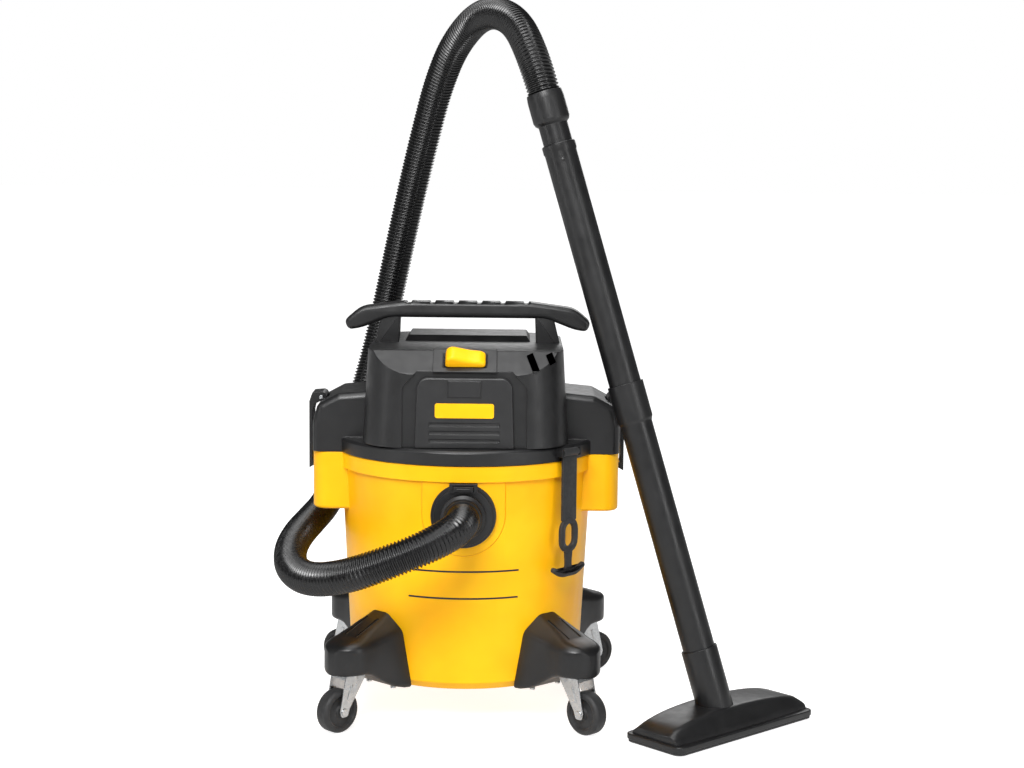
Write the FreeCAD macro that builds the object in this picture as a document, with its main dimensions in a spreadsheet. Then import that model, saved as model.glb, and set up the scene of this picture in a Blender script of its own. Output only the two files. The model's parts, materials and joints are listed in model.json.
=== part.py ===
"""A wet and dry shop vacuum on four casters, with its hose, two wand tubes and floor nozzle.

Millimetres, +Z up, front towards -Y.  The origin is on the floor, under the tank's axis.
"""

import FreeCAD, Part
import math
import os
import Sketcher
from FreeCAD import Placement, Rotation, Vector

DIMENSIONS = {
    # tank
    "tank_bottom": 48, "tank_base_radius": 148, "tank_top_radius": 161, "tank_wall": 3, "base_bevel": 10,
    "band_bottom": 312, "rim_top": 332, "rim_radius": 166,
    "lug_reach": 194, "lug_half_depth": 60, "lug_bottom": 259, "lug_corner": 20,
    "surround_half_width": 51, "surround_proud": 1.6,
    # inlet and hose ends
    "inlet_height": 271, "flange_radius": 40, "flange_face": 168, "sleeve_radius": 33, "inlet_bore_radius": 26,
    "hose_radius": 20.5, "hose_wall": 1.6, "hose_start": 188, "button_half_width": 12, "button_press": 3,
    # lid
    "seam": 0.3, "lid_radius": 168, "lid_top": 351, "lid_wall": 3, "wing_top": 410, "wing_inner": 118,
    "deck_hole_radius": 34,
    # latches
    "latch_half_width": 20, "latch_pin_radius": 2.5, "latch_pivot_reach": 186, "latch_pivot_height": 397,
    "latch_arm": 4, "catch_reach": 3, "catch_bottom": 316, "catch_height": 8,
    # motor cover
    "cover_half_width": 128, "cover_front": 146, "cover_back": 138, "cover_top": 468, "cover_corner": 58,
    "cover_draft": 7, "cover_wall": 3, "brow_height": 26, "brow_depth": 30,
    "recess_half_width": 76, "recess_top": 450, "recess_depth": 4,
    "panel_half_width": 61, "panel_top": 438, "panel_corner": 14, "panel_proud": 6,
    # handle
    "grip_half_length": 155, "grip_top": 520, "grip_thickness": 20, "grip_half_depth": 17,
    "post_inner": 86, "post_thickness": 24, "post_flare": 10, "ridge_pitch": 30, "notch_depth": 3,
    # switch
    "rocker_half_length": 25, "rocker_half_depth": 11, "rocker_tilt": 8,
    # motor and blower
    "shaft_radius": 4, "bearing_radius": 11, "bearing_height": 7, "stator_radius": 42, "stator_bore_radius": 25.5,
    "armature_radius": 25, "motor_wall": 2.5, "motor_top": 425, "impeller_radius": 62, "blower_radius": 78,
    "blower_floor": 301, "fan_radius": 36,
    # filter and float
    "cage_radius": 38, "cage_bottom": 205, "filter_radius": 72, "filter_inner_radius": 46, "filter_bottom": 192,
    "float_radius": 24, "intake_radius": 20,
    # feet and casters
    "foot_reach": 232, "foot_half_width": 44, "toe_half_width": 32, "foot_bottom": 73, "toe_top": 108,
    "foot_top": 137, "stem_reach": 206, "stem_radius": 5.5, "front_foot_turn": 43, "rear_foot_turn": 130,
    "holder_bore_radius": 17, "holder_wall": 4,
    "wheel_radius": 27, "wheel_width": 20, "axle_radius": 3, "caster_trail": 18, "fork_thickness": 2.2,
    # strap
    "strap_turn": 48, "strap_width": 28, "strap_thickness": 3, "strap_radius": 174, "strap_pin_height": 344,
    "strap_length": 152,
    # wand and nozzle
    "wand_foot_x": 313, "wand_foot_y": -150, "wand_foot_height": 32, "wand_lean": 17.3, "wand_turn": 160,
    "tube_radius": 20, "tube_wall": 1.8, "sliding_gap": 0.05, "socket_wall": 2.4,
    "neck_top": 76, "lower_tube_start": 38, "wand_joint": 415, "socket_depth": 45, "upper_tube_end": 722,
    "cuff_shoulder": 749, "cuff_end": 787, "cuff_plug_length": 36, "cuff_radius": 23,
    "nozzle_x": 322, "nozzle_y": -137, "nozzle_turn": 43, "nozzle_length": 254, "nozzle_width": 92,
    "nozzle_lip": 8, "nozzle_height": 37, "sole_thickness": 4,
    # exhaust port
    "exhaust_height": 405, "exhaust_bore_radius": 24, "exhaust_length": 26,
}

# The hose's route from the tank's coupling to the wand's cuff; both ends are worked out below.
HOSE_BENDS = [
    (0, -232, 271), (-32, -262, 256), (-84, -272, 236), (-134, -262, 216), (-180, -225, 203),
    (-208, -170, 204), (-218, -106, 213), (-215, -40, 221), (-205, 27, 227), (-192, 94, 236),
    (-177, 150, 268), (-161, 184, 329), (-142, 203, 396), (-125, 209, 462), (-110, 205, 530),
    (-95, 197, 600), (-79, 186, 670), (-62, 170, 738), (-45, 150, 800), (-22, 118, 853), (16, 62, 891), (56, -14, 878),
]

doc = FreeCAD.newDocument("shop_vacuum")
sheet = doc.addObject("Spreadsheet::Sheet", "Dims")
for row, (alias, number) in enumerate(DIMENSIONS.items(), 1):
    sheet.set(f"A{row}", alias)
    sheet.set(f"B{row}", str(number))
    sheet.setAlias(f"B{row}", alias)
doc.recompute()

parts = {}  # node name -> the object whose shape it is


# ---------------------------------------------------------------- sizes that remember their formula

class Size:
    """A length with the sheet formula that it comes from."""

    def __init__(self, value, formula):
        self.value = value
        self.formula = formula

    def __float__(self):
        return float(self.value)

    def __add__(self, other):
        return Size(self.value + float(other), f"({self.formula} + {formula_of(other)})")

    __radd__ = __add__

    def __sub__(self, other):
        return Size(self.value - float(other), f"({self.formula} - {formula_of(other)})")

    def __rsub__(self, other):
        return Size(float(other) - self.value, f"({formula_of(other)} - {self.formula})")

    def __mul__(self, other):
        return Size(self.value * float(other), f"({self.formula} * {formula_of(other)})")

    __rmul__ = __mul__

    def __truediv__(self, other):
        return Size(self.value / float(other), f"({self.formula} / {formula_of(other)})")

    def __neg__(self):
        return Size(-self.value, f"(0 - {self.formula})")


class Sizes:
    """The sheet's cells by name: d.tank_wall and so on."""

    def __getattr__(self, alias):
        return Size(float(sheet.get(alias)), f"Dims.{alias}")


def formula_of(length):
    """The sheet formula of a length, or the plain number."""
    return length.formula if isinstance(length, Size) else f"({float(length)})"


d = Sizes()


def bind(item, prop, length):
    """Tie one property of an object to the sheet."""
    if isinstance(length, Size):
        item.setExpression(prop, length.formula)


def place(item, x=0, y=0, z=0, rotation=None):
    """Put an object at x, y, z, tied to the sheet, with a turn."""
    item.Placement = Placement(Vector(float(x), float(y), float(z)), rotation or Rotation())
    for letter, length in zip("xyz", (x, y, z)):
        bind(item, f"Placement.Base.{letter}", length)
    return item


# ---------------------------------------------------------------- primitives and booleans

def move(item, placement):
    """Place an item for good, letting go of the position formulas of its first placing."""
    for letter in "xyz":
        item.setExpression(f"Placement.Base.{letter}", None)
    item.Placement = placement
    return item


def box(label, x, y, z):
    """A block between two values along each axis."""
    made = doc.addObject("Part::Box", label)
    for prop, (low, high) in zip(("Length", "Width", "Height"), (x, y, z)):
        setattr(made, prop, float(high - low))
        bind(made, prop, high - low)
    return place(made, x[0], y[0], z[0])


def cylinder(label, radius, length, x=0, y=0, z=0, rotation=None):
    """A round bar that starts at x, y, z and runs along +Z before its turn."""
    made = doc.addObject("Part::Cylinder", label)
    made.Radius = float(radius)
    made.Height = float(length)
    bind(made, "Radius", radius)
    bind(made, "Height", length)
    return place(made, x, y, z, rotation)


def tank_cone(label, extra):
    """The tank's side wall as a solid cone, fatter by extra."""
    made = doc.addObject("Part::Cone", label)
    for prop, length in (
        ("Radius1", d.tank_base_radius + extra),
        ("Radius2", d.tank_top_radius + extra),
        ("Height", d.band_bottom - d.tank_bottom - d.base_bevel),
    ):
        setattr(made, prop, float(length))
        bind(made, prop, length)
    return place(made, z=d.tank_bottom + d.base_bevel)


def fuse(label, *pieces):
    made = doc.addObject("Part::MultiFuse", label)
    made.Shapes = list(pieces)
    made.Refine = True
    return made


def common(label, *pieces):
    made = doc.addObject("Part::MultiCommon", label)
    made.Shapes = list(pieces)
    return made


def cut(label, base, tool):
    made = doc.addObject("Part::Cut", label)
    made.Base = base
    made.Tool = tool
    made.Refine = True
    return made


def group(label, pieces):
    """Separate solids that share one node."""
    made = doc.addObject("Part::Compound", label)
    made.Links = list(pieces)
    return made


def keep(name, item):
    """Record an object as a finished sub-part under its node name."""
    item.Label = name
    parts[name] = item
    return item


# ---------------------------------------------------------------- bodies, sketches and features

def new_body(label):
    return doc.addObject("PartDesign::Body", label)


def sketch(body, role, offset=0):
    """An empty sketch on one of the body's own origin planes."""
    made = body.newObject("Sketcher::SketchObject", f"{body.Name}_sketch")
    for feature in body.Origin.OriginFeatures:
        if feature.Role == role:
            made.AttachmentSupport = [(feature, "")]
    made.MapMode = "FlatFace"
    made.AttachmentOffset = Placement(Vector(0, 0, float(offset)), Rotation())
    bind(made, "AttachmentOffset.Base.z", offset)
    return made


def fix_point(target, line, end, point):
    """Hold one end of a line, or a circle's centre, at a point given by two lengths."""
    for kind, length in zip(("DistanceX", "DistanceY"), point):
        row = target.addConstraint(Sketcher.Constraint(kind, line, end, float(length)))
        bind(target, f"Constraints[{row}]", length)


def outline(target, corners):
    """A closed polygon through corners, each tied to the sheet."""
    first = target.GeometryCount
    count = len(corners)
    for number, start in enumerate(corners):
        end = corners[(number + 1) % count]
        target.addGeometry(
            Part.LineSegment(Vector(float(start[0]), float(start[1]), 0), Vector(float(end[0]), float(end[1]), 0))
        )
    for number, corner in enumerate(corners):
        following = first + (number + 1) % count
        target.addConstraint(Sketcher.Constraint("Coincident", first + number, 2, following, 1))
        fix_point(target, first + number, 1, corner)


def rounded_outline(target, half, front, back, corner):
    """A rectangle with rounded corners: four straight sides, each followed by a quarter circle."""
    left = -half + corner
    right = half - corner
    low = front + corner
    high = back - corner
    sides = [
        ((left, front), (right, front), (right, low)), ((half, low), (half, high), (right, high)),
        ((right, back), (left, back), (left, high)), ((-half, high), (-half, low), (left, low)),
    ]
    for number, (start, end, centre) in enumerate(sides):
        ends = [Vector(float(point[0]), float(point[1]), 0) for point in (start, end)]
        line = target.addGeometry(Part.LineSegment(*ends))
        fix_point(target, line, 1, start)
        fix_point(target, line, 2, end)
        round_corner = Part.Circle(Vector(float(centre[0]), float(centre[1]), 0), Vector(0, 0, 1), float(corner))
        quarter = math.pi / 2
        target.addGeometry(Part.ArcOfCircle(round_corner, (number - 1) * quarter, number * quarter))
    for number in range(4):
        arc = 2 * number + 1
        target.addConstraint(Sketcher.Constraint("Coincident", arc - 1, 2, arc, 1))
        target.addConstraint(Sketcher.Constraint("Coincident", arc, 2, (arc + 1) % 8, 1))
        row = target.addConstraint(Sketcher.Constraint("Radius", arc, float(corner)))
        bind(target, f"Constraints[{row}]", corner)


def feature(body, kind, profile, **settings):
    """Add one PartDesign feature that uses a sketch, with its lengths tied to the sheet."""
    made = body.newObject(f"PartDesign::{kind}", f"{body.Name}_{kind}")
    made.Profile = profile
    for prop, length in settings.items():
        if isinstance(length, Size):
            setattr(made, prop, float(length))
            bind(made, prop, length)
        else:
            setattr(made, prop, length)
    doc.recompute()
    return made


def pad(body, profile, length, both_ways=False, reverse=False):
    return feature(
        body, "Pad", profile, Length=length, SideType="Symmetric" if both_ways else "One side", Reversed=reverse
    )


def pocket(body, profile, length, both_ways=False, reverse=False):
    """Cut a profile out, and stop if the cut missed the solid."""
    before = body.Shape.Volume
    made = feature(
        body, "Pocket", profile, Length=length, SideType="Symmetric" if both_ways else "One side", Reversed=reverse
    )
    if body.Shape.Volume >= before:
        raise ValueError(f"{made.Name} cuts nothing")
    return made


def turned(label, profile):
    """A body of revolution about Z, from (radius, height) corners."""
    body = new_body(label)
    shape = sketch(body, "XZ_Plane")
    outline(shape, profile)
    feature(body, "Revolution", shape, ReferenceAxis=(shape, ["V_Axis"]), Angle=360)
    return body


def ring(label, outer, inner, bottom, top):
    """A plain round tube about Z."""
    return turned(label, [(inner, bottom), (outer, bottom), (outer, top), (inner, top)])


def extruded(label, role, corners, length):
    """A body made by extruding one outline both ways from an origin plane."""
    body = new_body(label)
    shape = sketch(body, role)
    outline(shape, corners)
    pad(body, shape, length, both_ways=True)
    return body


def edges_where(body, test):
    """Names of the body's edges whose bounding box passes a test."""
    return [f"Edge{number}" for number, edge in enumerate(body.Shape.Edges, 1) if test(edge.BoundBox)]


def dress(body, kind, size_name, length, test):
    """Fillet or chamfer the edges that pass a test."""
    tip = body.Tip
    made = body.newObject(f"PartDesign::{kind}", f"{body.Name}_{kind}")
    made.Base = (tip, edges_where(body, test))
    setattr(made, size_name, float(length))
    bind(made, size_name, length)
    doc.recompute()
    return made


def fillet(body, radius, test):
    return dress(body, "Fillet", "Radius", radius, test)


def upright(bounds):
    """True for an edge that runs along Z."""
    return bounds.ZLength > 1 and bounds.XLength < 0.01 and bounds.YLength < 0.01


def rectangle(half_x, half_y):
    return [(-half_x, -half_y), (half_x, -half_y), (half_x, half_y), (-half_x, half_y)]


FACING_FRONT = Rotation(Vector(1, 0, 0), 90)  # turns +Z to -Y
FACING_BACK = Rotation(Vector(1, 0, 0), -90)  # turns +Z to +Y


# ---------------------------------------------------------------- tank

def make_tank():
    """The collection tank: a tapered drum with a rim band and two side lugs for the latches."""
    drum = turned("tank_drum", [
        (0, d.tank_bottom), (d.tank_base_radius - d.base_bevel, d.tank_bottom),
        (d.tank_base_radius, d.tank_bottom + d.base_bevel), (d.tank_top_radius, d.band_bottom),
        (d.rim_radius, d.band_bottom), (d.rim_radius, d.rim_top), (0, d.rim_top),
    ])
    lugs = new_body("tank_lugs")
    plan = sketch(lugs, "XY_Plane", d.lug_bottom)
    outline(plan, rectangle(d.lug_reach, d.lug_half_depth))
    pad(lugs, plan, d.rim_top - d.lug_bottom)
    fillet(lugs, d.lug_corner, upright)
    fillet(lugs, 4, lambda b: b.ZLength < 0.01 and b.ZMax < float(d.lug_bottom) + 1)
    catches = []
    for side in (-1, 1):
        inner = side * (d.lug_reach - 1)
        outer = side * (d.lug_reach + d.catch_reach)
        catches.append(extruded(f"latch_catch_{len(catches)}", "XZ_Plane", [
            (inner, d.catch_bottom), (outer, d.catch_bottom), (inner, d.catch_bottom + d.catch_height),
        ], 2 * d.latch_half_width))

    inside = turned("tank_inside", [
        (0, d.tank_bottom + d.tank_wall), (d.tank_base_radius - d.base_bevel - d.tank_wall, d.tank_bottom + d.tank_wall),
        (d.tank_base_radius - d.tank_wall, d.tank_bottom + d.base_bevel + d.tank_wall),
        (d.tank_top_radius - d.tank_wall, d.band_bottom), (d.tank_top_radius - d.tank_wall, d.rim_top + 1),
        (0, d.rim_top + 1),
    ])
    lug_inside = new_body("lug_inside")
    inner_plan = sketch(lug_inside, "XY_Plane", d.lug_bottom + d.tank_wall)
    outline(inner_plan, rectangle(d.lug_reach - d.tank_wall, d.lug_half_depth - d.tank_wall))
    pad(lug_inside, inner_plan, d.rim_top + 1 - d.lug_bottom - d.tank_wall)
    fillet(lug_inside, d.lug_corner - d.tank_wall, upright)
    surround_block = box(
        "surround_block", (-d.surround_half_width, d.surround_half_width), (-d.lid_radius, -d.tank_base_radius / 2),
        (d.inlet_height, d.band_bottom),
    )
    surround_round = cylinder(
        "surround_round", d.surround_half_width, d.lid_radius, z=d.inlet_height, rotation=FACING_FRONT
    )
    surround = common(
        "inlet_surround", fuse("surround_shape", surround_block, surround_round),
        tank_cone("surround_skin", d.surround_proud),
    )
    inlet_hole = cylinder(
        "inlet_hole", d.sleeve_radius + d.sliding_gap, d.lid_radius + 1, z=d.inlet_height, rotation=FACING_FRONT
    )
    outside = fuse("tank_outside", drum, lugs, surround, *catches)
    keep("tank", cut("tank", outside, fuse("tank_hollow", inside, lug_inside, inlet_hole)))


# ---------------------------------------------------------------- inlet, its button and the hose's two ends

def make_inlet():
    """The round inlet port, saddled onto the tank wall, with its release button and inner deflector."""
    back = d.flange_face - 20
    rim = cylinder("flange_rim", d.flange_radius, 15, y=-back, z=d.inlet_height, rotation=FACING_FRONT)
    face = cylinder("flange_step", d.flange_radius - 4, 20, y=-back, z=d.inlet_height, rotation=FACING_FRONT)
    seat_bottom = d.inlet_height + 28.5
    seat_top = d.band_bottom - 0.5
    seat = box(
        "button_seat", (-(d.button_half_width + 5), d.button_half_width + 5), (-(d.flange_face + 2), -back),
        (seat_bottom, seat_top),
    )
    saddled = cut("flange_saddled", fuse("flange", rim, face, seat), tank_cone("flange_saddle", d.surround_proud))
    sleeve = cylinder("inlet_sleeve", d.sleeve_radius, 34, y=-(d.flange_face - 34), z=d.inlet_height,
                      rotation=FACING_FRONT)
    bore = cylinder("inlet_bore", d.inlet_bore_radius, d.flange_face, z=d.inlet_height, rotation=FACING_FRONT)
    gap = 0.4
    button_bottom = seat_bottom + 2.5
    button_top = seat_top - 3
    well = box(
        "button_well", (-(d.button_half_width + gap), d.button_half_width + gap),
        (-(d.flange_face + 3), -(d.flange_face - 8)), (button_bottom - gap, button_top + gap),
    )
    keep("inlet_port", cut("inlet_port", fuse("port_body", saddled, sleeve), fuse("port_cuts", bore, well)))
    keep("hose_lock_button", box(
        "hose_lock_button", (-d.button_half_width, d.button_half_width),
        (-(d.flange_face + 6), -(d.flange_face - 5.5 + d.button_press + gap)), (button_bottom, button_top),
    ))

    hood_radius = d.sleeve_radius + 3
    hood = cylinder("hood", hood_radius, 30, y=-(d.flange_face - 48), z=d.inlet_height, rotation=FACING_FRONT)
    hood_inside = cylinder("hood_inside", d.sleeve_radius + d.sliding_gap, 28, y=-(d.flange_face - 45),
                           z=d.inlet_height, rotation=FACING_FRONT)
    hood_mouth = box("hood_mouth", (-hood_radius, hood_radius), (-(d.flange_face - 33), -(d.flange_face - 45)),
                     (d.inlet_height - hood_radius - 1, d.inlet_height - 8))
    keep("inlet_deflector", cut("inlet_deflector", hood, fuse("hood_cuts", hood_inside, hood_mouth)))


def make_hose_coupling():
    """The hose's tank end: a plug in the port, a stop collar and a tapered boot."""
    bore = d.hose_radius - 4
    plug = d.inlet_bore_radius - d.sliding_gap
    coupling = turned("hose_coupling", [
        (bore, d.flange_face - 26), (plug, d.flange_face - 26), (plug, d.flange_face), (plug + 1.5, d.flange_face),
        (plug + 1.5, d.flange_face + 8), (d.hose_radius + 3, d.flange_face + 11), (d.hose_radius + 2, d.hose_start),
        (bore, d.hose_start),
    ])
    keep("hose_coupling", place(coupling, z=d.inlet_height, rotation=FACING_FRONT))


# ---------------------------------------------------------------- wand axis, hose and cuff

def wand_direction():
    """Unit vector up the wand."""
    lean = math.radians(float(d.wand_lean))
    turn = math.radians(float(d.wand_turn))
    return Vector(math.sin(lean) * math.cos(turn), math.sin(lean) * math.sin(turn), math.cos(lean))


def on_wand(item):
    """Move a piece drawn about Z onto the wand's axis."""
    turn = Rotation(Vector(0, 0, 1), wand_direction())
    return place(item, d.wand_foot_x, d.wand_foot_y, d.wand_foot_height, turn)


def hose_route():
    """The hose's points, from the coupling to the cuff, leaving both straight."""
    foot = Vector(float(d.wand_foot_x), float(d.wand_foot_y), float(d.wand_foot_height))
    start = Vector(0, -float(d.hose_start), float(d.inlet_height))
    end = foot + wand_direction() * float(d.cuff_end)
    bends = [Vector(*point) for point in HOSE_BENDS]
    return [start, *bends, end + wand_direction() * 45, end]


def bent_path(points):
    """A wire of straight runs joined by tangent arcs, each as large as its two runs allow."""
    edges = []
    radii = []
    here = points[0]
    for before, corner, after in zip(points, points[1:], points[2:]):
        incoming = (corner - before).normalize()
        outgoing = (after - corner).normalize()
        turn = incoming.getAngle(outgoing)
        shorter = min((corner - before).Length, (after - corner).Length)
        setback = 0.45 * shorter
        radii.append(setback / math.tan(turn / 2))
        arc_start = corner - incoming * setback
        arc_end = corner + outgoing * setback
        inward = (outgoing - incoming).normalize()
        centre_distance = radii[-1] / math.cos(turn / 2)
        middle = corner + inward * (centre_distance - radii[-1])
        edges.append(Part.LineSegment(here, arc_start).toShape())
        edges.append(Part.Arc(arc_start, middle, arc_end).toShape())
        here = arc_end
    edges.append(Part.LineSegment(here, points[-1]).toShape())
    return Part.Wire(edges), radii


def swept(path, start, direction, radius):
    """A round bar along a path."""
    section = Part.Wire([Part.Circle(start, direction, radius).toShape()])
    return path.makePipeShell([section], True, False)


def make_hose():
    """The hose as a plain hollow tube along its route."""
    points = hose_route()
    path, radii = bent_path(points)
    outer = float(d.hose_radius)
    inner = outer - float(d.hose_wall)
    direction = (points[1] - points[0]).normalize()
    tube = swept(path, points[0], direction, outer).cut(swept(path, points[0], direction, inner))
    made = doc.addObject("Part::Feature", "hose")
    made.Shape = tube
    keep("hose", made)
    expected = math.pi * (outer ** 2 - inner ** 2) * path.Length
    print(f"hose length {path.Length:.0f}, volume / section x length {tube.Volume / expected:.4f}")
    print("hose bend radii", [round(radius) for radius in radii])


def make_cuff():
    """The hose's wand end: a ribbed grip that holds the hose and a plug that fits the wand."""
    bore = d.hose_radius - 4
    plug = d.tube_radius - d.tube_wall - d.sliding_gap
    cuff = turned("hose_cuff", [
        (bore, d.upper_tube_end - d.cuff_plug_length), (plug, d.upper_tube_end - d.cuff_plug_length),
        (plug, d.cuff_shoulder - 3), (d.cuff_radius - 1.5, d.cuff_shoulder), (d.cuff_radius, d.cuff_shoulder + 4),
        (d.cuff_radius, d.cuff_end - 8), (d.cuff_radius - 1, d.cuff_end), (bore, d.cuff_end),
    ])
    keep("hose_cuff", on_wand(cuff))


def make_wand():
    """Two plain tubes: each has a socket at its top, or takes a plug there."""
    bore = d.tube_radius - d.tube_wall
    upper_start = d.wand_joint - d.socket_depth + 5
    upper = turned("wand_upper_tube", [
        (bore, upper_start), (d.tube_radius, upper_start), (d.tube_radius, d.upper_tube_end - 12),
        (d.tube_radius + 1, d.upper_tube_end - 9), (d.tube_radius + 1, d.upper_tube_end - 1),
        (d.tube_radius, d.upper_tube_end), (bore, d.upper_tube_end),
    ])
    keep("wand_upper", on_wand(upper))
    socket_bore = d.tube_radius + d.sliding_gap
    socket = socket_bore + d.socket_wall
    floor = d.wand_joint - d.socket_depth
    lower = turned("wand_lower_tube", [
        (bore, d.lower_tube_start), (d.tube_radius, d.lower_tube_start), (d.tube_radius, floor - 6), (socket, floor),
        (socket, d.wand_joint), (socket_bore, d.wand_joint), (socket_bore, floor), (bore, floor - 2),
    ])
    keep("wand_lower", on_wand(lower))


def make_nozzle():
    """The floor nozzle: a lipped wedge with a slanted neck, and the squeegee insert clipped under it."""
    turn = Rotation(Vector(0, 0, 1), float(d.nozzle_turn))
    half_length = d.nozzle_length / 2
    half_width = d.nozzle_width / 2
    base = d.sole_thickness

    wedge = new_body("nozzle_wedge")
    low = sketch(wedge, "XY_Plane", base + d.nozzle_lip)
    rounded_outline(low, half_length - 6, -(half_width - 6), half_width - 6, 8)
    high = sketch(wedge, "XY_Plane", d.nozzle_height)
    rounded_outline(high, half_length - 22, -(half_width - 30), half_width - 14, 8)
    feature(wedge, "AdditiveLoft", low, Sections=[high], Ruled=True)
    lip = new_body("nozzle_lip")
    plan = sketch(lip, "XY_Plane", base)
    outline(plan, rectangle(half_length, half_width))
    pad(lip, plan, d.nozzle_lip)
    fillet(lip, 12, upright)
    fillet(lip, 2, lambda b: b.ZMin > float(base + d.nozzle_lip) - 0.1)
    channel = new_body("nozzle_channel")
    mouth = sketch(channel, "XY_Plane")
    outline(mouth, rectangle(half_length - 26, half_width - 32))
    pad(channel, mouth, d.nozzle_height - 8)
    clip = box("clip_slot", (-(half_length - 8), -(half_length - 13)), (-11, 11), (base + 3, d.nozzle_height))
    for piece in (wedge, lip, channel, clip):
        move(piece, Placement(Vector(float(d.nozzle_x), float(d.nozzle_y), 0), turn) * piece.Placement)

    neck_bore = d.tube_radius + d.sliding_gap
    neck_radius = neck_bore + d.socket_wall
    neck = on_wand(turned("nozzle_neck", [
        (0, -8), (neck_radius, -8), (neck_radius, d.neck_top - 2), (neck_radius - 1, d.neck_top), (0, d.neck_top),
    ]))
    neck_hole = on_wand(turned("nozzle_neck_bore", [
        (0, -20), (d.tube_radius - d.tube_wall, -20), (d.tube_radius - d.tube_wall, d.lower_tube_start - 3),
        (neck_bore, d.lower_tube_start - 2), (neck_bore, d.neck_top + 1), (0, d.neck_top + 1),
    ]))
    keep("floor_nozzle", cut(
        "floor_nozzle", fuse("nozzle_solid", wedge, lip, neck), fuse("nozzle_cuts", channel, neck_hole, clip)
    ))

    insert = new_body("nozzle_insert")
    frame = sketch(insert, "XY_Plane", 1)
    outline(frame, rectangle(half_length - 1, half_width - 1))
    pad(insert, frame, base - 1)
    fillet(insert, 11, upright)
    strips = sketch(insert, "XY_Plane")
    for side in (-1, 1):
        inner = side * (half_width - 24)
        outer = side * (half_width - 14)
        outline(strips, [(-(half_length - 14), inner), (half_length - 14, inner), (half_length - 14, outer),
                         (-(half_length - 14), outer)])
    pad(insert, strips, 2)
    opening = sketch(insert, "XY_Plane", base)
    outline(opening, rectangle(half_length - 22, half_width - 26))
    pocket(insert, opening, base)
    keep("nozzle_insert", place(insert, d.nozzle_x, d.nozzle_y, 0, turn))


# ---------------------------------------------------------------- lid and latches

def make_lid():
    """The lid: a rim skirt, a deck that carries the motor, and an arched wing over each lug."""
    skirt_bottom = d.rim_top + d.seam
    deck_bottom = d.lid_top - d.lid_wall
    gasket_top = skirt_bottom + 5
    gasket_outer = d.lid_radius - d.lid_wall
    gasket_inner = gasket_outer - 5
    shell = turned("lid_shell", [
        (d.deck_hole_radius, deck_bottom), (gasket_inner, deck_bottom), (gasket_inner, gasket_top),
        (gasket_outer, gasket_top), (gasket_outer, skirt_bottom), (d.lid_radius, skirt_bottom), (d.lid_radius, d.lid_top - 3),
        (d.lid_radius - 3, d.lid_top), (d.deck_hole_radius, d.lid_top),
    ])
    solids = [shell]
    hollows = []
    for side, name in ((-1, "left"), (1, "right")):
        wing = extruded(f"wing_{name}", "XZ_Plane", [
            (side * d.wing_inner, skirt_bottom), (side * d.lug_reach, skirt_bottom),
            (side * d.lug_reach, d.lid_top + 18), (side * (d.lug_reach - 6), d.wing_top - 18),
            (side * (d.lug_reach - 32), d.wing_top - 4), (side * d.wing_inner, d.wing_top),
        ], 2 * d.lug_half_depth)
        fillet(wing, 12, lambda b: b.YLength > 50 and b.ZMin > float(d.lid_top) + 10 and
               abs(b.XMin) > float(d.wing_inner) + 1)
        fillet(wing, 9, lambda b: b.YLength < 0.01 and abs(b.XMax + b.XMin) / 2 > float(d.wing_inner) + 1
               and b.ZMax > float(skirt_bottom) + 1)
        solids.append(wing)
        inner = side * (d.lid_radius - d.lid_wall - 40)
        hollows.append(extruded(f"wing_hollow_{name}", "XZ_Plane", [
            (inner, skirt_bottom - 1), (side * (d.latch_pivot_reach - 16), skirt_bottom - 1),
            (side * (d.latch_pivot_reach - 16), d.wing_top - 18), (inner, d.wing_top - 5),
        ], 2 * (d.lug_half_depth - d.lid_wall)))
        recess = extruded(f"latch_recess_{name}", "XZ_Plane", [
            (side * (d.latch_pivot_reach - 8), d.latch_pivot_height - 12), (side * (d.lug_reach + 2),
             d.latch_pivot_height - 22), (side * (d.lug_reach + 2), d.wing_top + 5),
            (side * (d.latch_pivot_reach - 8), d.wing_top + 5),
        ], 2 * (d.latch_half_width + 0.6))
        hollows.append(recess)
        hollows.append(cylinder(
            f"pin_hole_{name}", d.latch_pin_radius, 2 * (d.latch_half_width + 8), x=side * d.latch_pivot_reach,
            y=d.latch_half_width + 8, z=d.latch_pivot_height, rotation=FACING_FRONT,
        ))
    hollows.append(ring("gasket_room", gasket_outer, gasket_inner, skirt_bottom - 1, gasket_top))
    hollows.append(tapered_block("lid_seat", d.lid_top, d.cover_top, 0))
    keep("lid", cut("lid", fuse("lid_solid", *solids), fuse("lid_hollow", *hollows)))
    keep("lid_gasket", ring("lid_gasket", gasket_outer, gasket_inner, skirt_bottom, gasket_top))


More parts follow.
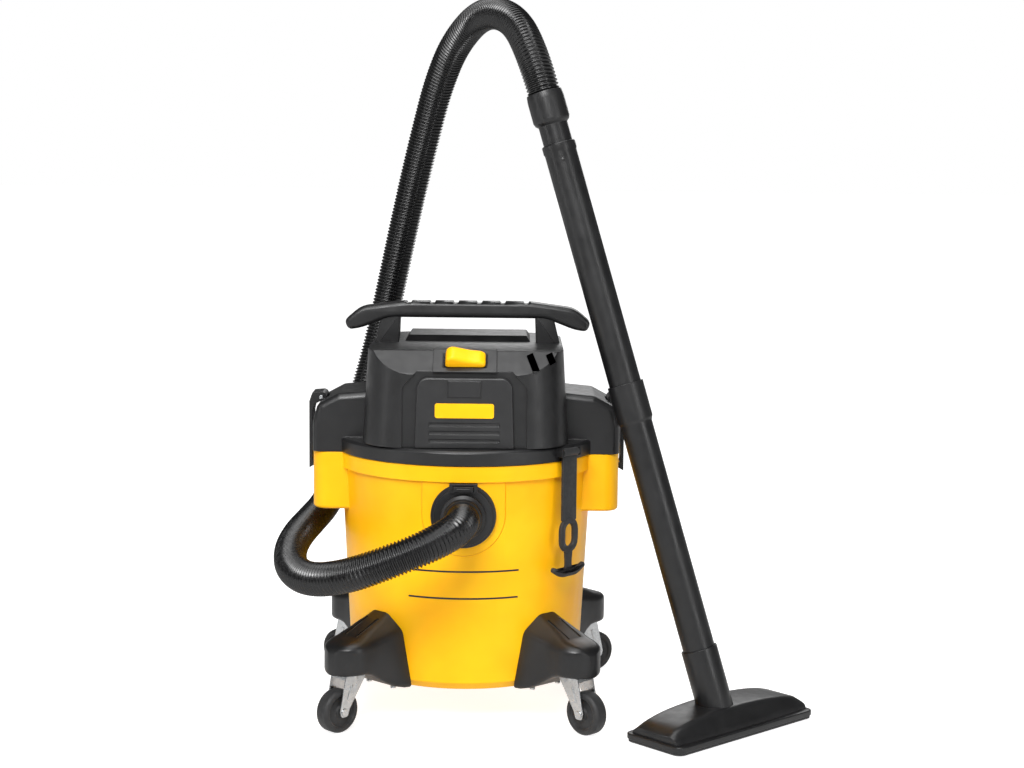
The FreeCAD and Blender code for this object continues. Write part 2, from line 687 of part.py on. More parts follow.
def make_latches():
    """Two over-centre levers: each turns on a pin in a wing and hooks under a catch on the tank."""
    pins = []
    for side, name in ((-1, "left"), (1, "right")):
        inside = side * (d.lug_reach + d.catch_reach + 0.8)
        outside = side * (d.lug_reach + d.catch_reach + 0.8 + d.latch_arm)
        hook_top = d.catch_bottom - 0.8
        pivot_x = side * d.latch_pivot_reach
        lever = extruded(f"lever_{name}", "XZ_Plane", [
            (inside, hook_top), (side * (d.lug_reach + 0.8), hook_top), (side * (d.lug_reach + 0.8), hook_top - 6),
            (outside, hook_top - 10), (outside, d.latch_pivot_height - 6),
            (side * (d.lug_reach + 4), d.latch_pivot_height + 5), (pivot_x, d.latch_pivot_height + 6),
            (pivot_x, d.latch_pivot_height - 5), (side * (d.lug_reach + 1.5), d.latch_pivot_height - 10),
            (inside, d.latch_pivot_height - 20),
        ], 2 * d.latch_half_width)
        eye = cylinder(f"eye_{name}", 6, 2 * d.latch_half_width, x=pivot_x, y=d.latch_half_width,
                       z=d.latch_pivot_height, rotation=FACING_FRONT)
        hole = cylinder(f"eye_hole_{name}", d.latch_pin_radius + d.sliding_gap, 2 * d.latch_half_width + 2, x=pivot_x,
                        y=d.latch_half_width + 1, z=d.latch_pivot_height, rotation=FACING_FRONT)
        keep(f"latch_{name}", cut(f"latch_{name}", fuse(f"latch_solid_{name}", lever, eye), hole))
        pins.append(cylinder(f"latch_pin_{name}", d.latch_pin_radius, 2 * (d.latch_half_width + 7), x=pivot_x,
                             y=d.latch_half_width + 7, z=d.latch_pivot_height, rotation=FACING_FRONT))
    keep("latch_pins", group("latch_pins", pins))


# ---------------------------------------------------------------- motor cover, front panel and handle

def tapered_block(label, bottom, top, inset):
    """A solid that leans in from the cover's footprint to its top, with rounded corners."""
    body = new_body(label)
    levels = []
    for height, draft in ((bottom, 0), (top, d.cover_draft)):
        plan = sketch(body, "XY_Plane", height)
        half = d.cover_half_width - inset - draft
        front = -(d.cover_front - inset)
        back = d.cover_back - inset - draft / 2
        rounded_outline(plan, half, front, back, d.cover_corner - inset)
        levels.append(plan)
    feature(body, "AdditiveLoft", levels[0], Sections=[levels[1]], Ruled=True)
    return body


def brow_wedge(label, inset):
    """What the sloping brow and the sloping back take off the top of the cover."""
    front = -(d.cover_front + 1)
    lean = d.brow_depth + 1
    top = d.cover_top - inset
    return extruded(label, "YZ_Plane", [
        (front, top - d.brow_height), (front, top + 1), (front + lean + 3, top + 1), (front + lean, top),
        (-(d.cover_front - inset), top - d.brow_height),
    ], 4 * d.cover_half_width)


def make_motor_cover():
    """The motor cover: a tapered shell with a sloping brow, an arched front recess and cooling slots."""
    outer = tapered_block("cover_outer", d.lid_top, d.cover_top, 0)
    sloped = cut("cover_sloped", outer, brow_wedge("cover_brow", 0))
    hump = new_body("cover_hump")
    low = sketch(hump, "XY_Plane", d.cover_top - 6)
    outline(low, [(-84, -4), (84, -4), (84, 112), (-84, 112)])
    high = sketch(hump, "XY_Plane", d.cover_top + 7)
    outline(high, [(-76, 12), (76, 12), (76, 100), (-76, 100)])
    feature(hump, "AdditiveLoft", low, Sections=[high], Ruled=True)
    recess = new_body("cover_recess")
    arch = sketch(recess, "XZ_Plane", d.cover_front - d.recess_depth)
    outline(arch, [
        (-d.recess_half_width, d.lid_top - 1), (d.recess_half_width, d.lid_top - 1),
        (d.recess_half_width, d.recess_top - 24), (d.recess_half_width - 22, d.recess_top),
        (-(d.recess_half_width - 22), d.recess_top), (-d.recess_half_width, d.recess_top - 24),
    ])
    pad(recess, arch, d.recess_depth + 5)
    fillet(recess, 14, lambda b: b.YLength > 3 and b.ZMin > float(d.lid_top) + 10)
    inner = tapered_block("cover_inner", d.lid_top - 1, d.cover_top - d.cover_wall, d.cover_wall)
    front_wall = box("cover_front_wall", (-d.recess_half_width - 3, d.recess_half_width + 3),
                     (-d.cover_front, -(d.cover_front - d.recess_depth - d.cover_wall)),
                     (d.lid_top - 2, d.cover_top))
    hollow = cut("cover_hollow", cut("cover_hollow_sloped", inner, brow_wedge("hollow_brow", d.cover_wall)), front_wall)
    opening = on_brow(box("switch_opening", (-31, 31), (-13.5, 13.5), (-40, 10)))
    slots = []
    for number, (reach, tall) in enumerate(((84, 22), (104, 13))):
        slot = box(f"cooling_slot_{number}", (0, 8), (-8, 40), (0, tall))
        turn = Rotation(Vector(0, 1, 0), -24)
        slots.append(place(slot, reach, -(d.cover_front), d.cover_top - tall - 3, turn))
    exhaust_hole = cylinder("exhaust_hole", d.exhaust_bore_radius + 5, 30, y=d.cover_back - 20, z=d.exhaust_height,
                            rotation=FACING_BACK)
    gland_hole = cylinder("gland_hole", 7, 30, x=-70, y=d.cover_back - 20, z=d.lid_top + 20, rotation=FACING_BACK)
    cuts = fuse("cover_cuts", recess, hollow, opening, exhaust_hole, gland_hole, *slots)
    keep("motor_cover", cut("motor_cover", fuse("cover_solid", sloped, hump), cuts))


def brow_frame():
    """Where the switch sits: the middle of the sloping brow, with its own Z square to the slope."""
    slope = math.degrees(math.atan2(float(d.brow_height), float(d.brow_depth)))
    return Placement(
        Vector(0, float(d.brow_depth) / 2 - float(d.cover_front), float(d.cover_top) - float(d.brow_height) / 2),
        Rotation(Vector(1, 0, 0), slope),
    )


def on_brow(item):
    """Move a piece drawn at the origin onto the brow."""
    return move(item, brow_frame() * item.Placement)


def make_front_panel():
    """The service panel in the recess, with three grip grooves, a raised tab and a plain badge."""
    panel = new_body("front_panel")
    face = sketch(panel, "XZ_Plane", d.cover_front - d.recess_depth)
    bottom = d.lid_top + 0.5
    half = d.panel_half_width
    outline(face, [
        (-half, bottom), (half, bottom), (half - 3, d.panel_top), (-(half - 3), d.panel_top),
    ])
    pad(panel, face, d.panel_proud)
    front_y = -float(d.cover_front - d.recess_depth + d.panel_proud)
    fillet(panel, d.panel_corner, lambda b: b.YLength > 3 and b.ZMin > float(d.panel_top) - 1)
    fillet(panel, 2.5, lambda b: b.YMax < front_y + 0.1 and b.ZMax > float(bottom) + 1)
    grooves = sketch(panel, "XZ_Plane", d.cover_front - d.recess_depth + d.panel_proud)
    for level in (7, 17, 27):
        low = bottom + level
        outline(grooves, [(-43, low), (43, low), (43, low + 4), (-43, low + 4)])
    pocket(panel, grooves, 1.5)
    tab = sketch(panel, "XZ_Plane", d.cover_front - d.recess_depth + d.panel_proud)
    outline(tab, [(-20, d.panel_top - 24), (20, d.panel_top - 24), (20, d.panel_top - 4), (-20, d.panel_top - 4)])
    pad(panel, tab, 1.5)
    keep("front_panel", panel)
    badge = new_body("badge_plate")
    plate = sketch(badge, "XZ_Plane", d.cover_front - d.recess_depth + d.panel_proud)
    middle = (bottom + d.panel_top) / 2 + 3
    outline(plate, [(-36, middle - 9), (36, middle - 9), (36, middle + 9), (-36, middle + 9)])
    pad(badge, plate, 1.2)
    fillet(badge, 3, lambda b: b.YLength > 1)
    keep("badge_plate", badge)


def make_handle():
    """The carrying handle: a long grip with notched ridges on two flared posts."""
    half = d.grip_half_length
    top = d.grip_top
    under = top - d.grip_thickness
    right_end = [
        (half - 75, under), (half - 38, under - 4), (half - 28, under - 12), (half - 11, top - 37), (half, top - 22),
        (half - 5, top - 17), (half - 22, top - 7), (half - 38, top - 3), (half - 75, top),
    ]
    left_end = [(-x, z) for x, z in reversed(right_end)]
    grip = extruded("grip", "XZ_Plane", right_end + left_end, 2 * d.grip_half_depth)
    posts = []
    foot = d.cover_top - 18
    for side in (-1, 1):
        name = "left" if side < 0 else "right"
        posts.append(extruded(f"post_{name}", "XZ_Plane", [
            (side * (d.post_inner + 2), foot), (side * (d.post_inner + d.post_thickness + d.post_flare), foot),
            (side * (d.post_inner + d.post_thickness - 1), under + 4), (side * d.post_inner, under + 4),
        ], 2 * d.grip_half_depth - 6))
    notches = []
    for number in range(6):
        middle = (number - 2.5) * d.ridge_pitch
        notches.append(box(f"notch_{number}", (middle - 3, middle + 3), (-d.lid_radius, d.lid_radius),
                           (top - d.notch_depth, top + 1)))
    socket = cut("handle_trimmed", fuse("handle_solid", grip, *posts), fuse("handle_notches", *notches))
    keep("handle", cut("handle", socket, tapered_block("handle_seat", d.lid_top, d.cover_top, 0)))


# ---------------------------------------------------------------- switch

def make_switch():
    """The bezel on the brow, the switch body under it and the rocker, shown tipped to off."""
    half = d.rocker_half_length
    depth = d.rocker_half_depth
    flange = box("bezel_flange", (-(half + 14), half + 14), (-(depth + 8), depth + 8), (0, 4))
    collar = box("bezel_collar", (-(half + 4), half + 4), (-(depth + 2), depth + 2), (-14, 1))
    hole = box("bezel_hole", (-(half + 2), half + 2), (-(depth + 0.6), depth + 0.6), (-15, 6))
    keep("switch_bezel", on_brow(cut("switch_bezel", fuse("bezel_solid", flange, collar), hole)))
    case = box("switch_case", (-(half - 1), half - 1), (-depth, depth), (-38, -15))
    blades = [box(f"terminal_{number}", (x, x + 1), (-3, 3), (-46, -37)) for number, x in enumerate((-14, 0, 14))]
    keep("switch_body", on_brow(fuse("switch_body", case, *blades)))
    rocker = extruded("power_switch", "XZ_Plane", [
        (-half, 2), (-(half - 3), 13), (0, 8), (half - 3, 13), (half, 2), (half - 6, -8), (-(half - 6), -8),
    ], 2 * depth)
    fillet(rocker, 2, lambda b: b.YLength > 10)
    rocker.Placement = Placement(Vector(0, 0, 0), Rotation(Vector(0, 1, 0), float(d.rocker_tilt)), Vector(0, 0, -4))
    keep("power_switch", on_brow(rocker))


# ---------------------------------------------------------------- motor, blower, filter and float

def make_motor():
    """The motor's fixed parts: bell housing, end cap, stator and two bearings."""
    gap = d.sliding_gap
    wall = d.motor_wall
    base = d.lid_top
    outer = d.stator_radius + wall
    seat = d.bearing_radius
    shaft_hole = d.shaft_radius + 1
    keep("motor_housing", turned("motor_housing", [
        (shaft_hole, base), (outer + 14, base), (outer + 14, base + wall), (outer, base + wall),
        (outer, d.motor_top), (outer - wall, d.motor_top), (outer - wall, base + wall),
        (seat + wall, base + wall), (seat + wall, base + 10), (seat, base + 10), (seat, base + 10 - d.bearing_height),
        (shaft_hole, base + 10 - d.bearing_height),
    ]))
    keep("motor_end_cap", turned("motor_end_cap", [
        (seat, d.motor_top - d.bearing_height), (seat + wall, d.motor_top - d.bearing_height),
        (seat + wall, d.motor_top), (outer, d.motor_top), (outer, d.motor_top + wall),
        (shaft_hole, d.motor_top + wall), (shaft_hole, d.motor_top), (seat, d.motor_top),
    ]))
    keep("motor_stator", ring("motor_stator", d.stator_radius, d.stator_bore_radius, base + 18, d.motor_top - 18))
    for name, bottom in (("lower", base + 10 - d.bearing_height), ("upper", d.motor_top - d.bearing_height)):
        keep(f"bearing_{name}", ring(f"bearing_{name}", seat, d.shaft_radius + gap, bottom, bottom + d.bearing_height))


def make_rotor():
    """What spins: the shaft, armature, suction impeller and cooling fan."""
    low = d.blower_floor + 12
    high = d.motor_top + 18
    keep("motor_shaft", turned("motor_shaft", [(0, low), (d.shaft_radius, low), (d.shaft_radius, high), (0, high)]))
    keep("armature", ring("armature", d.armature_radius - 0.5, d.shaft_radius, d.lid_top + 18, d.motor_top - 18))

    backing = ring("impeller_disc", d.impeller_radius, d.shaft_radius, low + 18, low + 20)
    vanes = []
    for number in range(8):
        vane = box(f"impeller_vane_{number}", (d.shaft_radius + 6, d.impeller_radius - 1), (-1, 1), (low + 4, low + 19))
        move(vane, Placement(Vector(), Rotation(Vector(0, 0, 1), 45 * number)) * vane.Placement)
        vanes.append(vane)
    hub = ring("impeller_hub", d.shaft_radius + 7, d.shaft_radius, low + 3, low + 19)
    keep("impeller", fuse("impeller", backing, hub, *vanes))

    fan_hub = ring("fan_hub", d.shaft_radius + 6, d.shaft_radius, high - 10, high - 2)
    blades = []
    for number in range(7):
        blade = box(f"fan_blade_{number}", (d.shaft_radius + 3, d.fan_radius), (-5, 5), (high - 7, high - 5))
        move(blade, Placement(Vector(), Rotation(Vector(0, 0, 1), number * 360 / 7)) * blade.Placement)
        blades.append(blade)
    keep("cooling_fan", fuse("cooling_fan", fan_hub, *blades))


def make_blower_and_filter():
    """Under the deck: the blower's bowl, the float cage, and the cartridge filter with its retainer."""
    wall = d.motor_wall
    deck = d.lid_top - d.lid_wall
    outer = d.blower_radius
    floor = d.blower_floor
    intake = d.intake_radius
    keep("blower_housing", turned("blower_housing", [
        (intake, floor), (outer, floor), (outer, deck - wall), (outer + 8, deck - wall), (outer + 8, deck),
        (outer - wall, deck), (outer - wall, floor + wall), (intake, floor + wall),
    ]))
    cage_bottom = d.cage_bottom
    cage_shell = turned("cage_shell", [
        (0, cage_bottom), (d.cage_radius, cage_bottom), (d.cage_radius, floor - wall),
        (d.filter_inner_radius - 0.5, floor - wall), (d.filter_inner_radius - 0.5, floor), (intake, floor),
        (intake, floor - wall), (d.cage_radius - wall, floor - wall), (d.cage_radius - wall, cage_bottom + wall),
        (0, cage_bottom + wall),
    ])
    windows = []
    for number in range(3):
        window = box(f"cage_window_{number}", (-d.cage_radius - 1, d.cage_radius + 1), (-10, 10),
                     (cage_bottom + 12, floor - 14))
        move(window, Placement(Vector(), Rotation(Vector(0, 0, 1), 60 * number)) * window.Placement)
        windows.append(window)
    keep("float_cage", cut("float_cage", cage_shell, fuse("cage_windows", *windows)))
    ball = doc.addObject("Part::Sphere", "float_ball")
    ball.Radius = float(d.float_radius)
    bind(ball, "Radius", d.float_radius)
    keep("float_ball", place(ball, z=cage_bottom + wall + d.float_radius + 0.3))
    keep("filter_cartridge", ring("filter_cartridge", d.filter_radius, d.filter_inner_radius, d.filter_bottom, floor))
    keep("filter_retainer", turned("filter_retainer", [
        (0, d.filter_bottom - 4), (d.filter_radius - 6, d.filter_bottom - 4), (d.filter_radius - 6, d.filter_bottom),
        (d.filter_inner_radius - 1, d.filter_bottom), (d.filter_inner_radius - 1, d.filter_bottom + 5),
        (12, d.filter_bottom + 5), (12, cage_bottom), (0, cage_bottom),
    ]))


def make_exhaust_and_gland():
    """The blower port at the back, and the grommet that the mains lead leaves by."""
    start = d.cover_back - 8
    port = turned("exhaust_port", [
        (d.exhaust_bore_radius, start), (d.exhaust_bore_radius + 4.8, start),
        (d.exhaust_bore_radius + 4.8, d.cover_back), (d.exhaust_bore_radius + 9, d.cover_back),
        (d.exhaust_bore_radius + 9, d.cover_back + 4), (d.exhaust_bore_radius + 3, d.cover_back + 6),
        (d.exhaust_bore_radius + 3, start + d.exhaust_length), (d.exhaust_bore_radius, start + d.exhaust_length),
    ])
    keep("exhaust_port", place(port, z=d.exhaust_height, rotation=FACING_BACK))
    gland = turned("cord_gland", [
        (4, start), (6.8, start), (6.8, d.cover_back), (10, d.cover_back), (10, d.cover_back + 3),
        (7, d.cover_back + 10), (4, d.cover_back + 10),
    ])
    keep("cord_gland", place(gland, x=-70, z=d.lid_top + 20, rotation=FACING_BACK))


# ---------------------------------------------------------------- feet and casters

def make_foot(name, turn, with_holder):
    """A foot: a hollow ramp that hugs the tank and carries a caster stem at its toe."""
    def shape(label, inset):
        plan = new_body(f"{label}_plan")
        top_view = sketch(plan, "XY_Plane", d.tank_bottom - 1 - inset)
        half = d.foot_half_width - inset
        toe = d.toe_half_width - inset
        outline(top_view, [
            (d.tank_base_radius / 2, -half), (d.tank_base_radius + 22, -half), (d.foot_reach - inset, -toe),
            (d.foot_reach - inset, toe), (d.tank_base_radius + 22, half), (d.tank_base_radius / 2, half),
        ])
        pad(plan, top_view, d.foot_top - d.tank_bottom + 2)
        fillet(plan, 12 - inset, lambda b: upright(b) and b.XMin > float(d.foot_reach - inset) - 1)
        side = extruded(f"{label}_side", "XZ_Plane", [
            (d.tank_base_radius / 2, d.tank_bottom - inset), (d.tank_base_radius + 12, d.tank_bottom - inset),
            (d.tank_base_radius + 34, d.foot_bottom - inset), (d.foot_reach + 5, d.foot_bottom - inset),
            (d.foot_reach + 5, d.toe_top - 12 - inset), (d.foot_reach - 6, d.toe_top - inset),
            (d.tank_base_radius + 18, d.foot_top - 8 - inset), (d.tank_base_radius + 4, d.foot_top - inset),
            (d.tank_base_radius / 2, d.foot_top - inset),
        ], 4 * d.foot_half_width)
        return common(label, plan, side)

    outer = shape(f"{name}_outer", 0)
    inner = shape(f"{name}_inner", d.tank_wall)
    boss = cylinder(f"{name}_boss", d.stem_radius + 5, d.foot_top - d.foot_bottom, x=d.stem_reach, z=d.foot_bottom)
    pieces = [cut(f"{name}_shell", outer, inner), common(f"{name}_boss_trimmed", boss, outer)]
    hole = cylinder(f"{name}_hole", d.stem_radius, d.toe_top - d.foot_bottom - 10, x=d.stem_reach, z=d.foot_bottom - 1)
    base = cylinder(f"{name}_base", d.tank_base_radius, d.base_bevel + 10, z=d.tank_bottom - 10)
    cuts = [hole, base, tank_cone(f"{name}_saddle", 0)]
    if with_holder:
        side = -1 if name.endswith("left") else 1
        x = d.tank_base_radius + 34
        y = side * (d.foot_half_width + d.holder_bore_radius - 2)
        radius = d.holder_bore_radius + d.holder_wall
        height = d.toe_top - d.foot_bottom + 8
        pieces.append(cylinder(f"{name}_holder", radius, height, x=x, y=y, z=d.foot_bottom))
        cuts.append(cylinder(f"{name}_holder_bore", d.holder_bore_radius, height + 2, x=x, y=y, z=d.foot_bottom - 1))
    foot = cut(name, fuse(f"{name}_solid", *pieces), fuse(f"{name}_cuts", *cuts))
    foot.Placement = Placement(Vector(), Rotation(Vector(0, 0, 1), turn))
    keep(name, foot)


def make_caster(corner, turn, trail_turn):
    """A swivel caster: a bent steel fork, a wheel and a riveted axle."""
    stem = Rotation(Vector(0, 0, 1), turn).multVec(Vector(float(d.stem_reach), 0, 0))
    swivel = Placement(stem, Rotation(Vector(0, 0, 1), trail_turn))
    axle_height = d.wheel_radius
    plate_top = d.foot_bottom - 2
    plate_bottom = plate_top - 2 * d.fork_thickness
    gap = d.wheel_width / 2 + 2.2
    leg = gap + d.fork_thickness
    side = extruded(f"{corner}_leg_side", "XZ_Plane", [
        (-15, plate_top), (15, plate_top), (d.caster_trail + 7, axle_height + 2), (d.caster_trail + 5, axle_height - 6),
        (d.caster_trail - 5, axle_height - 6), (d.caster_trail - 8, axle_height + 3), (-15, plate_bottom),
    ], 2 * leg)
    fillet(side, 4, lambda b: b.YLength > 10 and b.ZMax < float(axle_height))
    between = extruded(f"{corner}_between", "XZ_Plane", [
        (-30, 0), (60, 0), (60, plate_bottom), (-30, plate_bottom),
    ], 2 * gap)
    collar = cylinder(f"{corner}_collar", 15, d.fork_thickness * 2, z=plate_bottom)
    stem_hole = cylinder(f"{corner}_stem_hole", d.stem_radius + d.sliding_gap, 30, z=plate_bottom - 10)
    axle_hole = cylinder(f"{corner}_axle_hole", d.axle_radius, 2 * leg + 2, x=d.caster_trail, y=leg + 1, z=axle_height,
                         rotation=FACING_FRONT)
    fork = cut(f"caster_fork_{corner}", fuse(f"{corner}_fork_solid", side, collar),
               fuse(f"{corner}_fork_cuts", between, stem_hole, axle_hole))
    head = d.axle_radius + 2
    axle = turned(f"caster_axle_{corner}", [
        (0, -leg - 1.5), (head, -leg - 1.5), (head, -leg), (d.axle_radius, -leg), (d.axle_radius, leg), (head, leg),
        (head, leg + 1.5), (0, leg + 1.5),
    ])
    half = d.wheel_width / 2
    wheel = turned(f"caster_wheel_{corner}", [
        (d.axle_radius + d.sliding_gap, -half), (d.axle_radius + 5, -half), (d.axle_radius + 6, -half + 2.5),
        (d.wheel_radius - 7, -half + 2.5), (d.wheel_radius - 5, -half), (d.wheel_radius - 2, -half),
        (d.wheel_radius, -half + 3), (d.wheel_radius, half - 3), (d.wheel_radius - 2, half),
        (d.wheel_radius - 5, half), (d.wheel_radius - 7, half - 2.5), (d.axle_radius + 6, half - 2.5),
        (d.axle_radius + 5, half), (d.axle_radius + d.sliding_gap, half),
    ])
    for piece in (axle, wheel):
        place(piece, d.caster_trail, 0, axle_height, FACING_FRONT)
    for name, piece in (("fork", fork), ("axle", axle), ("wheel", wheel)):
        move(piece, swivel * piece.Placement)
        keep(f"caster_{name}_{corner}", piece)
    pin = turned(f"{corner}_stem", [
        (0, plate_bottom - 4), (d.stem_radius + 3, plate_bottom - 4), (d.stem_radius + 3, plate_bottom - 0.5),
        (d.stem_radius, plate_bottom - 0.5), (d.stem_radius, d.toe_top - 14), (0, d.toe_top - 14),
    ])
    pin.Placement = Placement(stem, Rotation())
    return pin


def make_undercarriage():
    """Four feet with their screws and casters.  Front casters trail outwards, as they stand when parked."""
    corners = {
        "front_left": (270 - d.front_foot_turn, 225), "front_right": (270 + d.front_foot_turn, 315),
        "rear_left": (90 + (180 - d.rear_foot_turn), 150), "rear_right": (90 - (180 - d.rear_foot_turn), 30),
    }
    stems = []
    screws = []
    for corner, (turn, trail_turn) in corners.items():
        turn = float(turn)
        make_foot(f"foot_{corner}", turn, corner.startswith("rear"))
        stems.append(make_caster(corner, turn, trail_turn))
        for offset in (-22, 22):
            screw = cylinder(f"foot_screw_{len(screws)}", 3.5, 2.5, x=d.tank_base_radius + 3, y=offset,
                             z=d.tank_bottom - 2.5)
            move(screw, Placement(Vector(), Rotation(Vector(0, 0, 1), turn)) * screw.Placement)
            screws.append(screw)
    keep("caster_stems", group("caster_stems", stems))
    keep("foot_screws", group("foot_screws", screws))


# ---------------------------------------------------------------- storage strap and cover screws

def make_strap():
    """A rubber strap that hangs from an anchor on the lid: an eye, a band, an oval ring and a T-bar."""
    turn = Rotation(Vector(0, 0, 1), 270 + float(d.strap_turn))
    top = d.strap_pin_height
    inner = d.strap_radius - d.strap_thickness / 2
    half = d.strap_width / 2
    band = box("strap_band", (inner, inner + d.strap_thickness), (-half + 1, half - 1), (top - d.strap_length + 55, top))
    eye = cylinder("strap_eye", 5, d.strap_width, x=d.strap_radius, y=half, z=top, rotation=FACING_FRONT)
    eye_hole = cylinder("strap_eye_hole", 2.5 + d.sliding_gap, d.strap_width + 2, x=d.strap_radius, y=half + 1, z=top,
                        rotation=FACING_FRONT)
    along_x = Rotation(Vector(0, 1, 0), 90)
    ring_middle = top - d.strap_length + 48
    loops = []
    for label, radius, start, length in (
        ("strap_loop", half + 1, inner, d.strap_thickness),
        ("strap_hole", half - 5, inner - 1, d.strap_thickness + 2),
    ):
        ends = [cylinder(f"{label}_end_{number}", radius, length, x=start, z=ring_middle + shift, rotation=along_x)
                for number, shift in enumerate((-6, 6))]
        middle = box(f"{label}_middle", (start, start + length), (-radius, radius), (ring_middle - 6, ring_middle + 6))
        loops.append(fuse(label, *ends, middle))
    neck = box("strap_neck", (inner, inner + d.strap_thickness), (-5, 5), (top - d.strap_length, ring_middle - 16))
    bar = cylinder("strap_bar", 4, 2 * half + 24, x=d.strap_radius, y=half + 12, z=top - d.strap_length,
                   rotation=FACING_FRONT)
    solid = fuse("strap_solid", band, eye, loops[0], neck, bar)
    strap = cut("storage_strap", solid, fuse("strap_cuts", loops[1], eye_hole))
    strap.Placement = Placement(Vector(), turn)
    keep("storage_strap", strap)

    ears = []
    for side in (-1, 1):
        low = side * half + (0.6 if side > 0 else -4.6)
        ears.append(box(f"anchor_ear_{len(ears)}", (d.lid_radius - 1, d.strap_radius + 4), (low, low + 4),
                        (top - 5, top + 5)))
    pin = cylinder("anchor_pin", 2.5, d.strap_width + 8, x=d.strap_radius, y=half + 4, z=top, rotation=FACING_FRONT)
    rim = cylinder("anchor_saddle", d.lid_radius, d.lid_top, z=0)
    anchor = cut("strap_anchor", fuse("anchor_solid", pin, *ears), rim)
    anchor.Placement = Placement(Vector(), turn)
    keep("strap_anchor", anchor)


def make_cover_screws():
    """The screws that hold the cover down, sunk in the deck from below."""
    screws = []
    for x in (-96, 96):
        for y in (-90, 84):
            screws.append(turned(f"cover_screw_{len(screws)}", [
                (0, d.lid_top - d.lid_wall - 3), (4.5, d.lid_top - d.lid_wall - 3), (4.5, d.lid_top - d.lid_wall),
                (0, d.lid_top - d.lid_wall),
            ]))
            place(screws[-1], x, y, 0)
    keep("cover_screws", group("cover_screws", screws))


# ---------------------------------------------------------------- build, check and write

def check_and_write():
    """Stop on any failed object or shape, then write one STEP file for each node."""
    doc.recompute()
    failed = [item.Name for item in doc.Objects if "Invalid" in item.State or "Error" in item.State]
    if failed:
        raise ValueError(f"failed objects: {failed}")
    os.makedirs("parts", exist_ok=True)
    for name, item in parts.items():
        shape = item.Shape
        if shape.isNull() or not shape.isValid() or shape.Volume <= 0:
            raise ValueError(f"bad shape: {name}")
        shape.exportStep(f"parts/{name}.step")
        print(f"{name}: {len(shape.Solids)} solid(s), {shape.Volume / 1000:.1f} cm3")
    print(f"{len(parts)} nodes")


make_tank()
make_inlet()
make_hose_coupling()
make_hose()
make_cuff()
make_wand()
make_nozzle()
make_lid()
make_latches()
make_motor_cover()
make_front_panel()
make_handle()
make_switch()
make_motor()
make_rotor()
make_blower_and_filter()
make_exhaust_and_gland()
make_undercarriage()
make_strap()
make_cover_screws()
check_and_write()
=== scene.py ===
# %% [markdown]
# # A wet and dry shop vacuum
# A shop vacuum is a plastic drum on casters with a motor head clamped on top. The CAD frame already
# gives every rigid piece its exact place and size. This notebook turns that frame into something that
# looks moulded, pressed and extruded: edges get their real small radii, the hose gets its rings, the
# filter its pleats, and each surface the finish that its process leaves behind.

import json
import math

import bpy
from mathutils import Matrix, Vector


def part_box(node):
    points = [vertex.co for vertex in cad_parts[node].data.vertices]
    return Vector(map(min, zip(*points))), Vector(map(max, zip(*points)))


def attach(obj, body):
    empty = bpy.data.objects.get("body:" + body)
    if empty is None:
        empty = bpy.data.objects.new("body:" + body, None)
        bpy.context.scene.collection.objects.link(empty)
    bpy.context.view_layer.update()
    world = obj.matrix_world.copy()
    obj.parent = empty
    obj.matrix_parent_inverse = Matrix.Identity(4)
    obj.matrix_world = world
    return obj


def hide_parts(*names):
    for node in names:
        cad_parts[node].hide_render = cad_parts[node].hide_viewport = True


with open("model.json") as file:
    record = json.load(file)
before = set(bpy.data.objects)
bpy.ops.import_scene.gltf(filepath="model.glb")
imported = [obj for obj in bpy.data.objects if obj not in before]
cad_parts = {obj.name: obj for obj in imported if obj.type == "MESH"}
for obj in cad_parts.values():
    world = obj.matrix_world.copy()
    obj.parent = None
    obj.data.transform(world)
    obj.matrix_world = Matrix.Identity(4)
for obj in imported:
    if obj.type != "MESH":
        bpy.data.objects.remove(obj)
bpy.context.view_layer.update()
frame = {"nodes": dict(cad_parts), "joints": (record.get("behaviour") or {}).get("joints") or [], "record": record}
record = frame["record"]
BODY_OF = {node: body for body, nodes in record["behaviour"]["bodies"].items() for node in nodes}
SLOT_OF = {part["node"]: part["material_slot"] for part in record["subparts"]}

# %% [markdown]
# ## Camera
# A long lens from two and a half metres keeps the drum's sides nearly parallel. The camera stands
# above the handle and looks slightly down, so that the lid's rim shows as a shallow curve. A roll of
# about half a degree tilts the whole view a little.

# %% Camera
CAMERA_PLACE = Vector((0.0575, -2.5, 0.716))
CAMERA_PITCH = math.radians(90 - 6.9)
CAMERA_ROLL = math.radians(0.6)
CAMERA_LENS_MM = 68.7
camera = bpy.data.objects.new("camera", bpy.data.cameras.new("camera"))
bpy.context.scene.collection.objects.link(camera)
camera.data.lens = CAMERA_LENS_MM
camera.matrix_world = (
    Matrix.Translation(CAMERA_PLACE)
    @ Matrix.Rotation(CAMERA_PITCH, 4, "X")
    @ Matrix.Rotation(CAMERA_ROLL, 4, "Z")
)
bpy.context.scene.camera = camera
print("camera lens", camera.data.lens, "mm")

# %% [markdown]
# ## Helpers for modelling
# A few small helpers carry the whole model. One clears the selection, because an operator acts on all
# that is selected. One spins a profile, the way that a round part is turned. One rounds the corners of
# such a profile before it is spun, because a moulded part has no knife edges. The last gives a finished
# piece its finish and lets it ride on the body that it belongs to.


# %% Helpers for modelling
MERGE_DISTANCE = 0.00001


def only(piece):
    """Make a piece the one selected, active object."""
    bpy.ops.object.select_all(action="DESELECT")
    piece.select_set(True)
    bpy.context.view_layer.objects.active = piece


def apply_modifier(piece, kind, **settings):
    """Add a modifier, set it up and apply it at once."""
    only(piece)
    modifier = piece.modifiers.new(kind.title(), kind)
    for key, value in settings.items():
        setattr(modifier, key, value)
    bpy.ops.object.modifier_apply(modifier=modifier.name)


